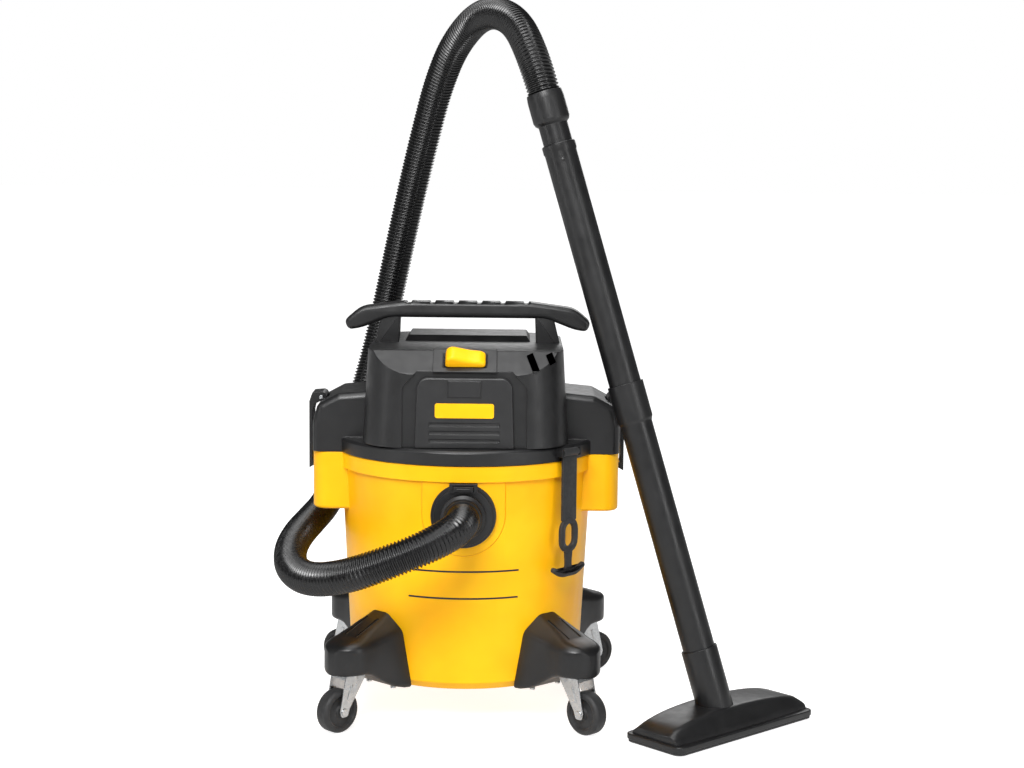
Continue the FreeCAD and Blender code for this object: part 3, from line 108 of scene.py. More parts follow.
def close_mesh(piece):
    """Merge doubled points and turn all faces outwards."""
    only(piece)
    bpy.ops.object.mode_set(mode="EDIT")
    bpy.ops.mesh.select_all(action="SELECT")
    bpy.ops.mesh.remove_doubles(threshold=MERGE_DISTANCE)
    bpy.ops.mesh.normals_make_consistent(inside=False)
    bpy.ops.object.mode_set(mode="OBJECT")


def shade(piece, angle=32):
    """Smooth shading that stays crisp over corners sharper than the angle."""
    only(piece)
    bpy.ops.object.shade_smooth_by_angle(angle=math.radians(angle))


def settle(piece):
    """Move an object's place and turn into its mesh."""
    only(piece)
    bpy.ops.object.transform_apply(location=True, rotation=True, scale=True)


def rounded(corners, radius, steps=3):
    """The corners of a closed profile, each swapped for a short arc."""
    points = []
    for number, corner in enumerate(corners):
        here = Vector(corner)
        before = Vector(corners[number - 1]) - here
        after = Vector(corners[(number + 1) % len(corners)]) - here
        reach = min(radius, before.length * 0.45, after.length * 0.45)
        start = here + before.normalized() * reach
        end = here + after.normalized() * reach
        for step in range(steps + 1):
            t = step / steps
            points.append((1 - t) ** 2 * start + 2 * t * (1 - t) * here + t ** 2 * end)
    return points


def chain(name, points):
    """A closed chain of edges in the XZ plane, extruded from one point to the next."""
    bpy.ops.object.select_all(action="DESELECT")
    bpy.ops.mesh.primitive_plane_add(size=0.01)
    piece = bpy.context.object
    piece.name = name
    bpy.ops.object.mode_set(mode="EDIT")
    bpy.ops.mesh.select_all(action="SELECT")
    bpy.ops.mesh.merge(type="CENTER")
    bpy.ops.transform.translate(value=(points[0][0], 0, points[0][1]))
    for here, there in zip(points, [*points[1:], points[0]]):
        step = (there[0] - here[0], 0, there[1] - here[1])
        bpy.ops.mesh.extrude_region_move(TRANSFORM_OT_translate={"value": step})
    bpy.ops.mesh.select_all(action="SELECT")
    bpy.ops.mesh.remove_doubles(threshold=0.000001)
    bpy.ops.object.mode_set(mode="OBJECT")
    return piece


def turned(name, corners, radius=0.0008, steps=96):
    """A round piece: a closed profile of (radius, height) corners spun about Z."""
    piece = chain(name, rounded(corners, radius))
    only(piece)
    bpy.ops.object.mode_set(mode="EDIT")
    bpy.ops.mesh.select_all(action="SELECT")
    bpy.ops.mesh.spin(steps=steps, angle=math.tau, center=(0, 0, 0), axis=(0, 0, 1))
    bpy.ops.object.mode_set(mode="OBJECT")
    close_mesh(piece)
    shade(piece)
    return piece


def bar(name, size, place=(0, 0, 0), turn=None, edge=0.0006):
    """A small block with rounded edges, set at a place with a turn."""
    bpy.ops.object.select_all(action="DESELECT")
    bpy.ops.mesh.primitive_cube_add(size=1)
    piece = bpy.context.object
    piece.name = name
    piece.scale = size
    settle(piece)
    apply_modifier(piece, "BEVEL", width=min(edge, min(size) * 0.45), segments=3)
    piece.matrix_world = Matrix.Translation(Vector(place)) @ (turn or Matrix.Identity(4))
    settle(piece)
    shade(piece)
    return piece


def join(*pieces):
    """Join pieces into the first one."""
    only(pieces[0])
    for piece in pieces[1:]:
        piece.select_set(True)
    bpy.ops.object.join()
    return pieces[0]


def dress(piece, finish, node, stands_in=True):
    """Give a finished piece its finish and its body, and let it stand for its CAD node."""
    piece.data.materials.clear()
    piece.data.materials.append(finish)
    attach(piece, BODY_OF[node])
    if stands_in:
        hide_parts(node)
    return piece


# %% [markdown]
# ## Helpers for materials
# Colours are picked as sRGB codes, the way that a colour chart gives them, and a shader wants them
# linear, so one function converts. Another adds a node with its settings and links in one go. Values
# that are the same all over go straight onto the shader; only patterns are wired in.


# %% Helpers for materials
def linear(code):
    """An sRGB colour code as linear RGBA."""
    parts = [int(code[i:i + 2], 16) / 255 for i in (1, 3, 5)]
    return (*[p / 12.92 if p <= 0.04045 else ((p + 0.055) / 1.055) ** 2.4 for p in parts], 1.0)


def add(tree, kind, settings=None, values=None, links=None):
    """Add a shader node, set its fields and input values, and link outputs to its inputs."""
    node = tree.nodes.new(kind)
    for key, value in (settings or {}).items():
        setattr(node, key, value)
    for key, value in (values or {}).items():
        node.inputs[key].default_value = value
    for key, output in (links or {}).items():
        tree.links.new(output, node.inputs[key])
    return node


def new_finish(name, **values):
    """A Principled material with its even values set on the shader."""
    finish = bpy.data.materials.new(name)
    finish.use_nodes = True
    shader = finish.node_tree.nodes["Principled BSDF"]
    for key, value in values.items():
        shader.inputs[key.replace("_", " ")].default_value = value
    return finish, finish.node_tree, shader


def spots(tree, size_mm, detail=2.0, stretch=(1, 1, 1)):
    """A soft random pattern whose spots are about size_mm across, drawn in the piece's own space."""
    place = add(tree, "ShaderNodeTexCoord").outputs["Object"]
    scaled = add(tree, "ShaderNodeMapping", values={"Scale": stretch}, links={"Vector": place})
    values = {"Scale": 1000 / size_mm, "Detail": detail}
    noise = add(tree, "ShaderNodeTexNoise", values=values, links={"Vector": scaled.outputs["Vector"]})
    return noise.outputs["Fac"]


def colour_from(tree, shader, pattern, dark, light, low=0.35, high=0.65):
    """Let the base colour drift between two colours with a pattern."""
    ramp = add(tree, "ShaderNodeValToRGB", links={"Fac": pattern})
    ramp.color_ramp.elements[0].position = low
    ramp.color_ramp.elements[0].color = linear(dark)
    ramp.color_ramp.elements[1].position = high
    ramp.color_ramp.elements[1].color = linear(light)
    tree.links.new(ramp.outputs["Color"], shader.inputs["Base Color"])


def roughness_from(tree, shader, pattern, low, high):
    """Let the gloss drift between two roughness values with a pattern."""
    values = {"From Min": 0.3, "From Max": 0.7, "To Min": low, "To Max": high}
    spread = add(tree, "ShaderNodeMapRange", values=values, links={"Value": pattern})
    tree.links.new(spread.outputs["Result"], shader.inputs["Roughness"])


def bump_from(tree, shader, pattern, depth_mm, strength=0.6, under=None):
    """Raise the surface by a pattern, on top of another bump if there is one."""
    links = {"Height": pattern}
    if under is not None:
        links["Normal"] = under
    values = {"Strength": strength, "Distance": depth_mm / 1000}
    bump = add(tree, "ShaderNodeBump", values=values, links=links)
    tree.links.new(bump.outputs["Normal"], shader.inputs["Normal"])
    return bump.outputs["Normal"]


# %% [markdown]
# ## Plastics
# Nearly all of the machine is polypropylene. The tank's is dyed yellow and comes out of a polished mould
# a little waxy: light enters it slightly, so it gets some subsurface glow. The black housings come from
# a spark-eroded mould, which leaves a fine even grain that breaks highlights up. The wand is smoother,
# with faint drawing lines along it, and the hose is blow-moulded polyethylene, the glossiest of all.


# %% Plastics
def yellow_polypropylene():
    """Injection-moulded polypropylene from a polished mould: waxy, warm, with a broad soft highlight."""
    finish, tree, shader = new_finish(
        "yellow polypropylene", IOR=1.49, Specular_IOR_Level=0.22,
        Subsurface_Weight=0.05, Subsurface_Scale=0.004,
    )
    shader.inputs["Subsurface Radius"].default_value = (1.0, 0.5, 0.1)
    colour_from(tree, shader, spots(tree, 60), "#FFB506", "#FFBE0E")
    roughness_from(tree, shader, spots(tree, 9), 0.33, 0.42)
    ripple = bump_from(tree, shader, spots(tree, 14), 0.05, 0.5)
    bump_from(tree, shader, spots(tree, 0.9), 0.012, 0.4, ripple)
    return finish


def grained_plastic(name, dark, light, roughness, grain_mm=0.55):
    """Moulded plastic with spark-eroded grain: the grain scatters the highlight into a satin sheen."""
    finish, tree, shader = new_finish(name, IOR=1.49)
    colour_from(tree, shader, spots(tree, 30), dark, light)
    roughness_from(tree, shader, spots(tree, 12), roughness - 0.04, roughness + 0.06)
    bump_from(tree, shader, spots(tree, grain_mm, 3), 0.03, 0.55)
    return finish


def drawn_plastic():
    """Extruded polypropylene tube: semi-gloss, with faint lines where it was drawn through its die."""
    finish, tree, shader = new_finish("wand polypropylene", IOR=1.49)
    colour_from(tree, shader, spots(tree, 40), "#101011", "#171718")
    roughness_from(tree, shader, spots(tree, 20), 0.33, 0.44)
    lines = bump_from(tree, shader, spots(tree, 2.2, 2, (1, 1, 0.05)), 0.02, 0.5)
    bump_from(tree, shader, spots(tree, 0.8), 0.008, 0.4, lines)
    return finish


def hose_polyethylene():
    """Blow-moulded polyethylene: a thin, glossy skin that throws one hard highlight along each ring."""
    finish, tree, shader = new_finish("hose polyethylene", IOR=1.51)
    colour_from(tree, shader, spots(tree, 25), "#060607", "#0C0C0D")
    roughness_from(tree, shader, spots(tree, 8), 0.20, 0.30)
    bump_from(tree, shader, spots(tree, 3.0), 0.03, 0.4)
    return finish


def moulded_rubber(name, dark, light):
    """Soft moulded rubber: matt, faintly bloomed, with a pebbled skin."""
    finish, tree, shader = new_finish(name, IOR=1.52, Sheen_Weight=0.08, Sheen_Roughness=0.5)
    colour_from(tree, shader, spots(tree, 12), dark, light)
    roughness_from(tree, shader, spots(tree, 5), 0.56, 0.72)
    bump_from(tree, shader, spots(tree, 0.5, 3), 0.04, 0.6)
    return finish


yellow = yellow_polypropylene()
black = grained_plastic("black polypropylene", "#111112", "#181819", 0.38)
panel_black = grained_plastic("panel polypropylene", "#1B1B1C", "#222223", 0.42, 0.7)
foot_black = grained_plastic("foot polypropylene", "#0F0F10", "#161617", 0.36, 0.8)
white = grained_plastic("white polypropylene", "#DAD8D0", "#E6E4DC", 0.45)
wand_black = drawn_plastic()
hose_black = hose_polyethylene()
rubber = moulded_rubber("black rubber", "#131314", "#1B1B1C")
tyre = moulded_rubber("caster tyre", "#161617", "#1F1F20")
print(len(bpy.data.materials), "materials so far")

# %% [markdown]
# ## Metals and paper
# The caster forks are pressed sheet steel with a bright zinc coat, which has a slightly cloudy,
# crystalline look. The motor's pieces are laminated and turned steel, its impeller is pressed aluminium.
# A metal's colour is its reflection, so these are fully metallic and only their gloss and grain differ.


# %% Metals and paper
def plated_steel():
    """Zinc-plated pressed steel: bright and cool, with a cloudy crystal bloom in its gloss."""
    finish, tree, shader = new_finish("zinc plated steel", Metallic=1.0)
    colour_from(tree, shader, spots(tree, 5), "#BBBDBF", "#C9CBCC")
    roughness_from(tree, shader, spots(tree, 3, 3), 0.26, 0.33)
    bump_from(tree, shader, spots(tree, 1.2), 0.006, 0.4)
    return finish


def worked_metal(name, dark, light, roughness, stretch):
    """Machined or pressed metal: fine lines run the way that the tool ran."""
    finish, tree, shader = new_finish(name, Metallic=1.0)
    colour_from(tree, shader, spots(tree, 9), dark, light)
    roughness_from(tree, shader, spots(tree, 4), roughness - 0.05, roughness + 0.08)
    bump_from(tree, shader, spots(tree, 0.6, 3, stretch), 0.02, 0.6)
    return finish


def filter_paper():
    """Resin-set filter paper: dull, off-white, with short fibres in it."""
    finish, tree, shader = new_finish("filter paper", IOR=1.5)
    colour_from(tree, shader, spots(tree, 1.5, 4), "#D9D3C2", "#ECE7DA")
    roughness_from(tree, shader, spots(tree, 3), 0.82, 0.95)
    bump_from(tree, shader, spots(tree, 0.5, 5), 0.06, 0.7)
    return finish


zinc = plated_steel()
motor_steel = worked_metal("motor steel", "#7E7F80", "#9A9B9B", 0.38, (1, 1, 6))
aluminium = worked_metal("pressed aluminium", "#C4C6C8", "#DADBDC", 0.32, (3, 1, 1))
paper = filter_paper()
FINISH_OF_SLOT = {
    "yellow_pp": yellow, "black_pp": black, "wand_pp": wand_black, "hose_pe": hose_black,
    "black_rubber": rubber, "wheel_rubber": tyre, "zinc_steel": zinc, "motor_steel": motor_steel,
    "impeller_aluminium": aluminium, "filter_paper": paper, "white_pp": white,
}
print(len(bpy.data.materials), "materials in all")

# %% [markdown]
# ## The hose's line
# The hose leaves the inlet, swings out to the left, goes round behind the tank and climbs over the top
# to the wand. Its line is one smooth spline guided by the same points as the frame's tube, so that
# the rings stay close to that tube. A spline keeps every bend even, which a real hose does by itself.

# %% The hose's line
HOSE_DIAMETER = 0.041
WAND_FOOT = Vector((0.313, -0.150, 0.032))
WAND_LEAN = math.radians(17.3)
WAND_TURN = math.radians(160)
WAND_LENGTH = 0.787
CUFF_RUN = 0.045
wand_axis = Vector((
    math.sin(WAND_LEAN) * math.cos(WAND_TURN), math.sin(WAND_LEAN) * math.sin(WAND_TURN), math.cos(WAND_LEAN),
))
hose_end = WAND_FOOT + wand_axis * WAND_LENGTH
HOSE_POINTS = [
    (0, -0.188, 0.271), (0, -0.232, 0.271), (-0.032, -0.262, 0.256), (-0.084, -0.272, 0.236),
    (-0.134, -0.262, 0.216), (-0.180, -0.225, 0.203), (-0.208, -0.170, 0.204), (-0.218, -0.106, 0.213),
    (-0.215, -0.040, 0.221), (-0.205, 0.027, 0.227), (-0.192, 0.094, 0.236), (-0.177, 0.150, 0.268),
    (-0.161, 0.184, 0.329), (-0.142, 0.203, 0.396), (-0.125, 0.209, 0.462), (-0.110, 0.205, 0.530),
    (-0.095, 0.197, 0.600), (-0.079, 0.186, 0.670), (-0.062, 0.170, 0.738), (-0.045, 0.150, 0.800),
    (-0.022, 0.118, 0.853), (0.016, 0.062, 0.891), (0.056, -0.014, 0.878),
    tuple(hose_end + wand_axis * CUFF_RUN), tuple(hose_end),
]
line = bpy.data.curves.new("hose_line", "CURVE")
line.dimensions = "3D"
line.resolution_u = 24
spline = line.splines.new("NURBS")
spline.points.add(len(HOSE_POINTS) - 1)
for point, place in zip(spline.points, HOSE_POINTS):
    point.co = (*place, 1)
spline.order_u = 3
spline.use_endpoint_u = True
hose_line = bpy.data.objects.new("hose_line", line)
bpy.context.scene.collection.objects.link(hose_line)
bpy.context.view_layer.update()
read = bpy.data.meshes.new_from_object(hose_line.evaluated_get(bpy.context.evaluated_depsgraph_get()))
hose_path = [vertex.co.copy() for vertex in read.vertices]
hose_length = sum((b - a).length for a, b in zip(hose_path, hose_path[1:]))
print("hose length", round(hose_length, 3), "m")

# %% [markdown]
# ## The hose's rings
# A corrugated hose is hundreds of equal rounded rings. One ring is modelled: a wave-shaped chain of
# edges spun about the X axis. An Array modifier repeats it to the hose's length, merging the seams, and
# a Curve modifier bends the straight hose along the line. Each ring is kept light, because its faces
# are repeated hundreds of times.

# %% The hose's rings
RING_PITCH = 0.0046
RING_CREST = HOSE_DIAMETER / 2
RING_VALLEY = RING_CREST - 0.0025
RING_SIDES = 36
RING_PROFILE = [(0, 0), (0.16, 0.1), (0.32, 0.75), (0.5, 1), (0.68, 0.75), (0.84, 0.1), (1, 0)]
ring_count = round(hose_length / RING_PITCH)
pitch = hose_length / ring_count

bpy.ops.object.select_all(action="DESELECT")
bpy.ops.mesh.primitive_plane_add(size=0.01)
hose = bpy.context.object
hose.name = "hose_rings"
bpy.ops.object.mode_set(mode="EDIT")
bpy.ops.mesh.select_all(action="SELECT")
bpy.ops.mesh.merge(type="CENTER")
bpy.ops.transform.translate(value=(0, 0, RING_VALLEY))
for (along, rise), (next_along, next_rise) in zip(RING_PROFILE, RING_PROFILE[1:]):
    step = ((next_along - along) * pitch, 0, (next_rise - rise) * (RING_CREST - RING_VALLEY))
    bpy.ops.mesh.extrude_region_move(TRANSFORM_OT_translate={"value": step})
bpy.ops.mesh.select_all(action="SELECT")
bpy.ops.mesh.spin(steps=RING_SIDES, angle=math.tau, center=(0, 0, 0), axis=(1, 0, 0))
bpy.ops.mesh.select_all(action="SELECT")
bpy.ops.mesh.remove_doubles(threshold=0.000005)
bpy.ops.mesh.normals_make_consistent(inside=False)
bpy.ops.object.mode_set(mode="OBJECT")
apply_modifier(
    hose, "ARRAY", count=ring_count, use_relative_offset=False, use_constant_offset=True,
    constant_offset_displace=(pitch, 0, 0), use_merge_vertices=True, merge_threshold=0.00002,
)
apply_modifier(hose, "CURVE", object=hose_line, deform_axis="POS_X")
close_mesh(hose)
only(hose)
bpy.ops.object.shade_smooth()
bpy.data.objects.remove(hose_line)
dress(hose, hose_black, "hose")
print(ring_count, "rings,", len(hose.data.polygons), "faces")

# %% [markdown]
# ## Moulded pieces from the frame
# Most rigid pieces already have the right shape. A copy of such a mesh is merged, its flat triangles
# are dissolved into whole faces, and its sharp edges get the small radius that a mould gives, which is
# what catches the light. Faces with five or more sides are cut into triangles before they are shaded.
# The copy then stands for the frame's piece.


# %% Moulded pieces from the frame
FLAT_ANGLE = math.radians(1.5)  # faces that meet at less than this become one
SHARP_ANGLE = math.radians(40)  # edges that turn more than this are rounded


def moulded(node, finish, edge_mm):
    """A copy of a CAD node with merged faces and softly rounded edges."""
    piece = bpy.data.objects.new(f"{node}_piece", frame["nodes"][node].data.copy())
    bpy.context.scene.collection.objects.link(piece)
    only(piece)
    if piece.data.has_custom_normals:
        bpy.ops.mesh.customdata_custom_splitnormals_clear()
    bpy.ops.object.mode_set(mode="EDIT")
    bpy.ops.mesh.select_all(action="SELECT")
    bpy.ops.mesh.remove_doubles(threshold=MERGE_DISTANCE)
    bpy.ops.mesh.dissolve_limited(angle_limit=FLAT_ANGLE)
    bpy.ops.mesh.normals_make_consistent(inside=False)
    bpy.ops.object.mode_set(mode="OBJECT")
    apply_modifier(
        piece, "BEVEL", width=edge_mm / 1000, segments=2, limit_method="ANGLE",
        angle_limit=SHARP_ANGLE, use_clamp_overlap=False, miter_outer="MITER_ARC",
    )
    apply_modifier(piece, "TRIANGULATE", min_vertices=5, quad_method="BEAUTY", ngon_method="BEAUTY")
    shade(piece, 35)
    apply_modifier(piece, "WEIGHTED_NORMAL", keep_sharp=True)
    return dress(piece, finish, node)


FINISH_OF_NODE = {"front_panel": panel_black, "badge_plate": yellow, "inlet_deflector": black}
EDGE_MM = {
    "tank": 1.2, "motor_cover": 0.7, "lid": 1.2, "front_panel": 0.9,
    "switch_bezel": 1.0, "badge_plate": 0.3,
}
SMALL_EDGE_MM = 0.4
CORNERS = ("front_left", "front_right", "rear_left", "rear_right")
MADE_ELSEWHERE = {
    "hose", "power_switch", "handle", "filter_cartridge", "floor_nozzle", "storage_strap",
    *[f"foot_{corner}" for corner in CORNERS],
    *[f"caster_wheel_{corner}" for corner in CORNERS],
}
for node in sorted(BODY_OF):
    if node in MADE_ELSEWHERE:
        continue
    finish = FINISH_OF_NODE.get(node, FINISH_OF_SLOT[SLOT_OF[node]])
    moulded(node, finish, EDGE_MM.get(node, SMALL_EDGE_MM))

# %% [markdown]
# ## Feet
# Each foot is one moulding: a round pod over the caster that rises to a rounded peak on the drum.
# One foot is made for all four corners. Its cross-section is drawn at fifteen places along its length,
# like the frames of a boat, and bridged into a skin: an arch beside the drum, a low slab at the pod, and
# past the caster's stem the slabs narrow along a half circle. The drum's cone is cut out of the back,
# and two grooves are sunk in the sloping top.


# %% Feet
def lofted(name, sections):
    """A closed body bridged through sections of (place along X, points across and up)."""
    rings = []
    for number, (place, points) in enumerate(sections):
        ring = chain(f"{name}_{number}", points)
        ring.matrix_world = Matrix.Translation((place, 0, 0)) @ Matrix.Rotation(math.radians(90), 4, "Z")
        settle(ring)
        rings.append(ring)
    body = join(*rings)
    body.name = name
    only(body)
    bpy.ops.object.mode_set(mode="EDIT")
    bpy.ops.mesh.select_all(action="SELECT")
    bpy.ops.mesh.bridge_edge_loops()
    bpy.ops.mesh.select_all(action="SELECT")
    bpy.ops.mesh.fill_holes(sides=0)
    bpy.ops.mesh.select_all(action="SELECT")
    bpy.ops.mesh.normals_make_consistent(inside=False)
    bpy.ops.object.mode_set(mode="OBJECT")
    return body


def cut_away(piece, cutter):
    """Cut one object out of another and remove it."""
    apply_modifier(piece, "BOOLEAN", object=cutter, operation="DIFFERENCE", solver="EXACT")
    bpy.data.objects.remove(cutter)


def foot_section(half_width, shoulder_half, low, shoulder, top, crown_half):
    """The foot's outline across: upright sides up to a shoulder, and an arched or flat crown."""
    corners = [
        (-half_width, low), (half_width, low), (shoulder_half, shoulder), (crown_half, top),
        (-crown_half, top), (-shoulder_half, shoulder),
    ]
    return rounded(corners, min(0.006, half_width * 0.5), 4)


POD_RADIUS = 0.031
POD_CENTRE = 0.204
POD_BOTTOM = 0.073
CUTTER_LOW_RADIUS = 0.1470
CUTTER_HIGH_RADIUS = 0.1623
CUTTER_HEIGHT = 0.300
CUTTER_MIDDLE = 0.180
GROOVE_SIZE = (0.042, 0.0036, 0.006)
GROOVE_OFFSET = 0.0098
sections = [
    (0.128, foot_section(0.046, 0.035, 0.047, 0.122, 0.144, 0.012)),
    (0.150, foot_section(0.045, 0.035, 0.049, 0.120, 0.141, 0.012)),
    (0.162, foot_section(0.042, 0.034, 0.052, 0.117, 0.135, 0.014)),
    (0.174, foot_section(0.038, 0.033, 0.058, 0.114, 0.130, 0.016)),
    (0.184, foot_section(0.034, 0.032, 0.065, 0.111, 0.125, 0.018)),
    (0.194, foot_section(0.032, 0.0315, 0.071, 0.109, 0.121, 0.020)),
]
for step in range(9):
    angle = math.radians(10 * step)
    half_width = POD_RADIUS * math.cos(angle)
    drop = 0.0003 * step + 0.0035 * (step / 8) ** 6
    sections.append((POD_CENTRE + POD_RADIUS * math.sin(angle), foot_section(
        half_width, half_width, POD_BOTTOM, 0.108 - drop, 0.1165 - 1.9 * drop - 0.0007 * step, half_width * 0.68,
    )))
foot = lofted("foot", sections)
bpy.ops.object.select_all(action="DESELECT")
bpy.ops.mesh.primitive_cone_add(
    vertices=192, radius1=CUTTER_LOW_RADIUS, radius2=CUTTER_HIGH_RADIUS, depth=CUTTER_HEIGHT,
    location=(0, 0, CUTTER_MIDDLE),
)
cut_away(foot, bpy.context.object)
GROOVE_SLOPE = Matrix.Rotation(math.radians(23), 4, "Y")
for side in (-1, 1):
    groove_place = (0.184, side * GROOVE_OFFSET, 0.1262)
    cut_away(foot, bar("groove", GROOVE_SIZE, groove_place, GROOVE_SLOPE, 0.0016))
shade(foot, 40)
FOOT_TURN = {"front_left": 227, "front_right": 313, "rear_left": 140, "rear_right": 40}
HOLDER_PLACE = (0.182, 0.059)
for corner, turn in FOOT_TURN.items():
    piece = bpy.data.objects.new(f"foot_{corner}_piece", foot.data.copy())
    bpy.context.scene.collection.objects.link(piece)
    if corner.startswith("rear"):
        holder = turned("holder", [(0.017, 0.073), (0.021, 0.073), (0.021, 0.116), (0.017, 0.116)], 0.0009, 48)
        side = -1 if corner.endswith("left") else 1
        holder.location = (HOLDER_PLACE[0], side * HOLDER_PLACE[1], 0)
        settle(holder)
        web = bar("holder_web", (0.024, 0.024, 0.036), (0.178, side * 0.034, 0.093), None, 0.003)
        join(piece, holder, web)
    piece.matrix_world = Matrix.Rotation(math.radians(turn), 4, "Z")
    settle(piece)
    dress(piece, foot_black, f"foot_{corner}")
print("foot faces", len(foot.data.polygons))
bpy.data.objects.remove(foot)

# %% [markdown]
# ## Caster wheels and the ribs on their forks
# A caster wheel is turned: a broad tread with rounded shoulders, a sunk web and a proud hub. The same
# wheel is copied to each axle, at the place and along the axis that the frame's own joint gives. The
# steel fork has a rib pressed into each leg, which stiffens it and catches one bright line of light.

# %% Caster wheels and the ribs on their forks
wheel = turned("wheel", [
    (0.00305, -0.010), (0.0075, -0.010), (0.0085, -0.0072), (0.0185, -0.0066), (0.0200, -0.0100), (0.0240, -0.0100),
    (0.0268, -0.0070), (0.0270, 0.0), (0.0268, 0.0070), (0.0240, 0.0100), (0.0200, 0.0100), (0.0185, 0.0066),
    (0.0085, 0.0072), (0.0075, 0.010), (0.00305, 0.010),
], 0.0012, 72)
joints = {joint["name"]: joint for joint in frame["joints"]}
LEG_FACE = 0.0146
LEG_HEIGHT = 0.051
LEG_TRAIL = 0.0095
LEG_LEAN = 0.011
LEG_DROP = 0.030
RIB_SIZE = (0.0014, 0.0034, 0.019)
for corner in CORNERS:
    roll = joints[f"roll_{corner}"]
    axis = Vector(roll["axis"]).normalized()
    centre = Vector(roll["pos_m"])
    piece = bpy.data.objects.new(f"caster_wheel_{corner}_piece", wheel.data.copy())
    bpy.context.scene.collection.objects.link(piece)
    piece.matrix_world = Matrix.Translation(centre) @ axis.to_track_quat("Z", "Y").to_matrix().to_4x4()
    settle(piece)
    dress(piece, tyre, f"caster_wheel_{corner}")
    stem = Vector(joints[f"swivel_{corner}"]["pos_m"])
    trail = Vector((centre.x - stem.x, centre.y - stem.y, 0)).normalized()
    lean = trail * LEG_LEAN - Vector((0, 0, LEG_DROP))
    for side in (-1, 1):
        place = Vector((stem.x, stem.y, LEG_HEIGHT)) + trail * LEG_TRAIL + axis * side * LEG_FACE
        turn = Matrix((axis, axis.cross(lean).normalized(), lean.normalized())).transposed().to_4x4()
        rib = bar(f"fork_rib_{corner}_{'a' if side < 0 else 'b'}", RIB_SIZE, place, turn)
        dress(rib, zinc, f"caster_fork_{corner}", stands_in=False)
print("wheel faces", len(wheel.data.polygons))
bpy.data.objects.remove(wheel)

# %% [markdown]
# ## Rocker and carrying handle
# The switch's rocker is a smooth yellow pebble, tipped to the left, that a thumb finds without looking.
# The handle is a long grip with drooping ends, ridged on top for the fingers, on two flared posts. Both
# are made the same way: a side outline with rounded corners is filled, extruded through its depth and
# rounded along its rim. The grip's six notches are rounded bars cut out of it.


# %% Rocker and carrying handle
def slab(name, corners, radius, depth, edge):
    """A side outline with rounded corners, extruded along Y and rounded along its rim."""
    piece = chain(name, rounded(corners, radius, 5))
    only(piece)
    bpy.ops.object.mode_set(mode="EDIT")
    bpy.ops.mesh.select_all(action="SELECT")
    bpy.ops.transform.translate(value=(0, -depth / 2, 0))
    bpy.ops.mesh.edge_face_add()
    bpy.ops.mesh.extrude_region_move(TRANSFORM_OT_translate={"value": (0, depth, 0)})
    bpy.ops.mesh.select_all(action="SELECT")
    bpy.ops.mesh.normals_make_consistent(inside=False)
    bpy.ops.object.mode_set(mode="OBJECT")
    apply_modifier(
        piece, "BEVEL", width=edge, segments=4, limit_method="ANGLE", angle_limit=math.radians(60),
        use_clamp_overlap=False,
    )
    shade(piece, 50)
    return piece


rock = joints["power_rock"]
brow_up = Vector(rock["axis"]).normalized()
brow_out = Vector((1, 0, 0)).cross(brow_up)
ROCKER_SEAT = 0.004
brow_middle = Vector(rock["pos_m"]) + brow_out * ROCKER_SEAT
brow_turn = Matrix((Vector((1, 0, 0)), brow_up, brow_out)).transposed().to_4x4()
rocker = slab("power_switch_piece", [
    (-0.0235, -0.0050), (-0.0243, 0.0040), (-0.0226, 0.0155), (-0.0160, 0.0195), (-0.0050, 0.0165),
    (0.0070, 0.0130), (0.0190, 0.0120), (0.0256, 0.0080), (0.0240, -0.0050),
], 0.0060, 0.0222, 0.0040)
rocker.matrix_world = Matrix.Translation(brow_middle) @ brow_turn
settle(rocker)
dress(rocker, yellow, "power_switch")
print("rocker faces", len(rocker.data.polygons))

GRIP_DEPTH = 0.034
grip_end = [
    (0.100, 0.4995), (0.136, 0.4855), (0.1525, 0.4830), (0.1575, 0.4950), (0.137, 0.5125), (0.080, 0.5200),
]
grip = slab("handle_piece", grip_end + [(-x, z) for x, z in reversed(grip_end)], 0.010, GRIP_DEPTH, 0.0055)
NOTCH_COUNT = 6
NOTCH_PITCH = 0.030
NOTCH_SIZE = (0.0070, 0.050, 0.0070)
NOTCH_HEIGHT = 0.5205
for number in range(NOTCH_COUNT):
    middle = (number - (NOTCH_COUNT - 1) / 2) * NOTCH_PITCH
    cut_away(grip, bar("notch", NOTCH_SIZE, (middle, 0, NOTCH_HEIGHT), None, 0.0022))
for side in (-1, 1):
    post = slab("post", [
        (side * 0.088, 0.4560), (side * 0.121, 0.4560), (side * 0.109, 0.5040), (side * 0.086, 0.5040),
    ], 0.0030, GRIP_DEPTH - 0.006, 0.0022)
    join(grip, post)
dress(grip, black, "handle")
print("handle faces", len(grip.data.polygons))

# %% [markdown]
# ## Floor nozzle
# The nozzle is moulded like an upturned boat: highest at its neck and falling in a long curve to both
# ends, above a thin square-edged lip. Sections across it are bridged into the crown, the lip is a flat
# slab under it, and the neck is a turned socket that leans with the wand and takes the lower tube.

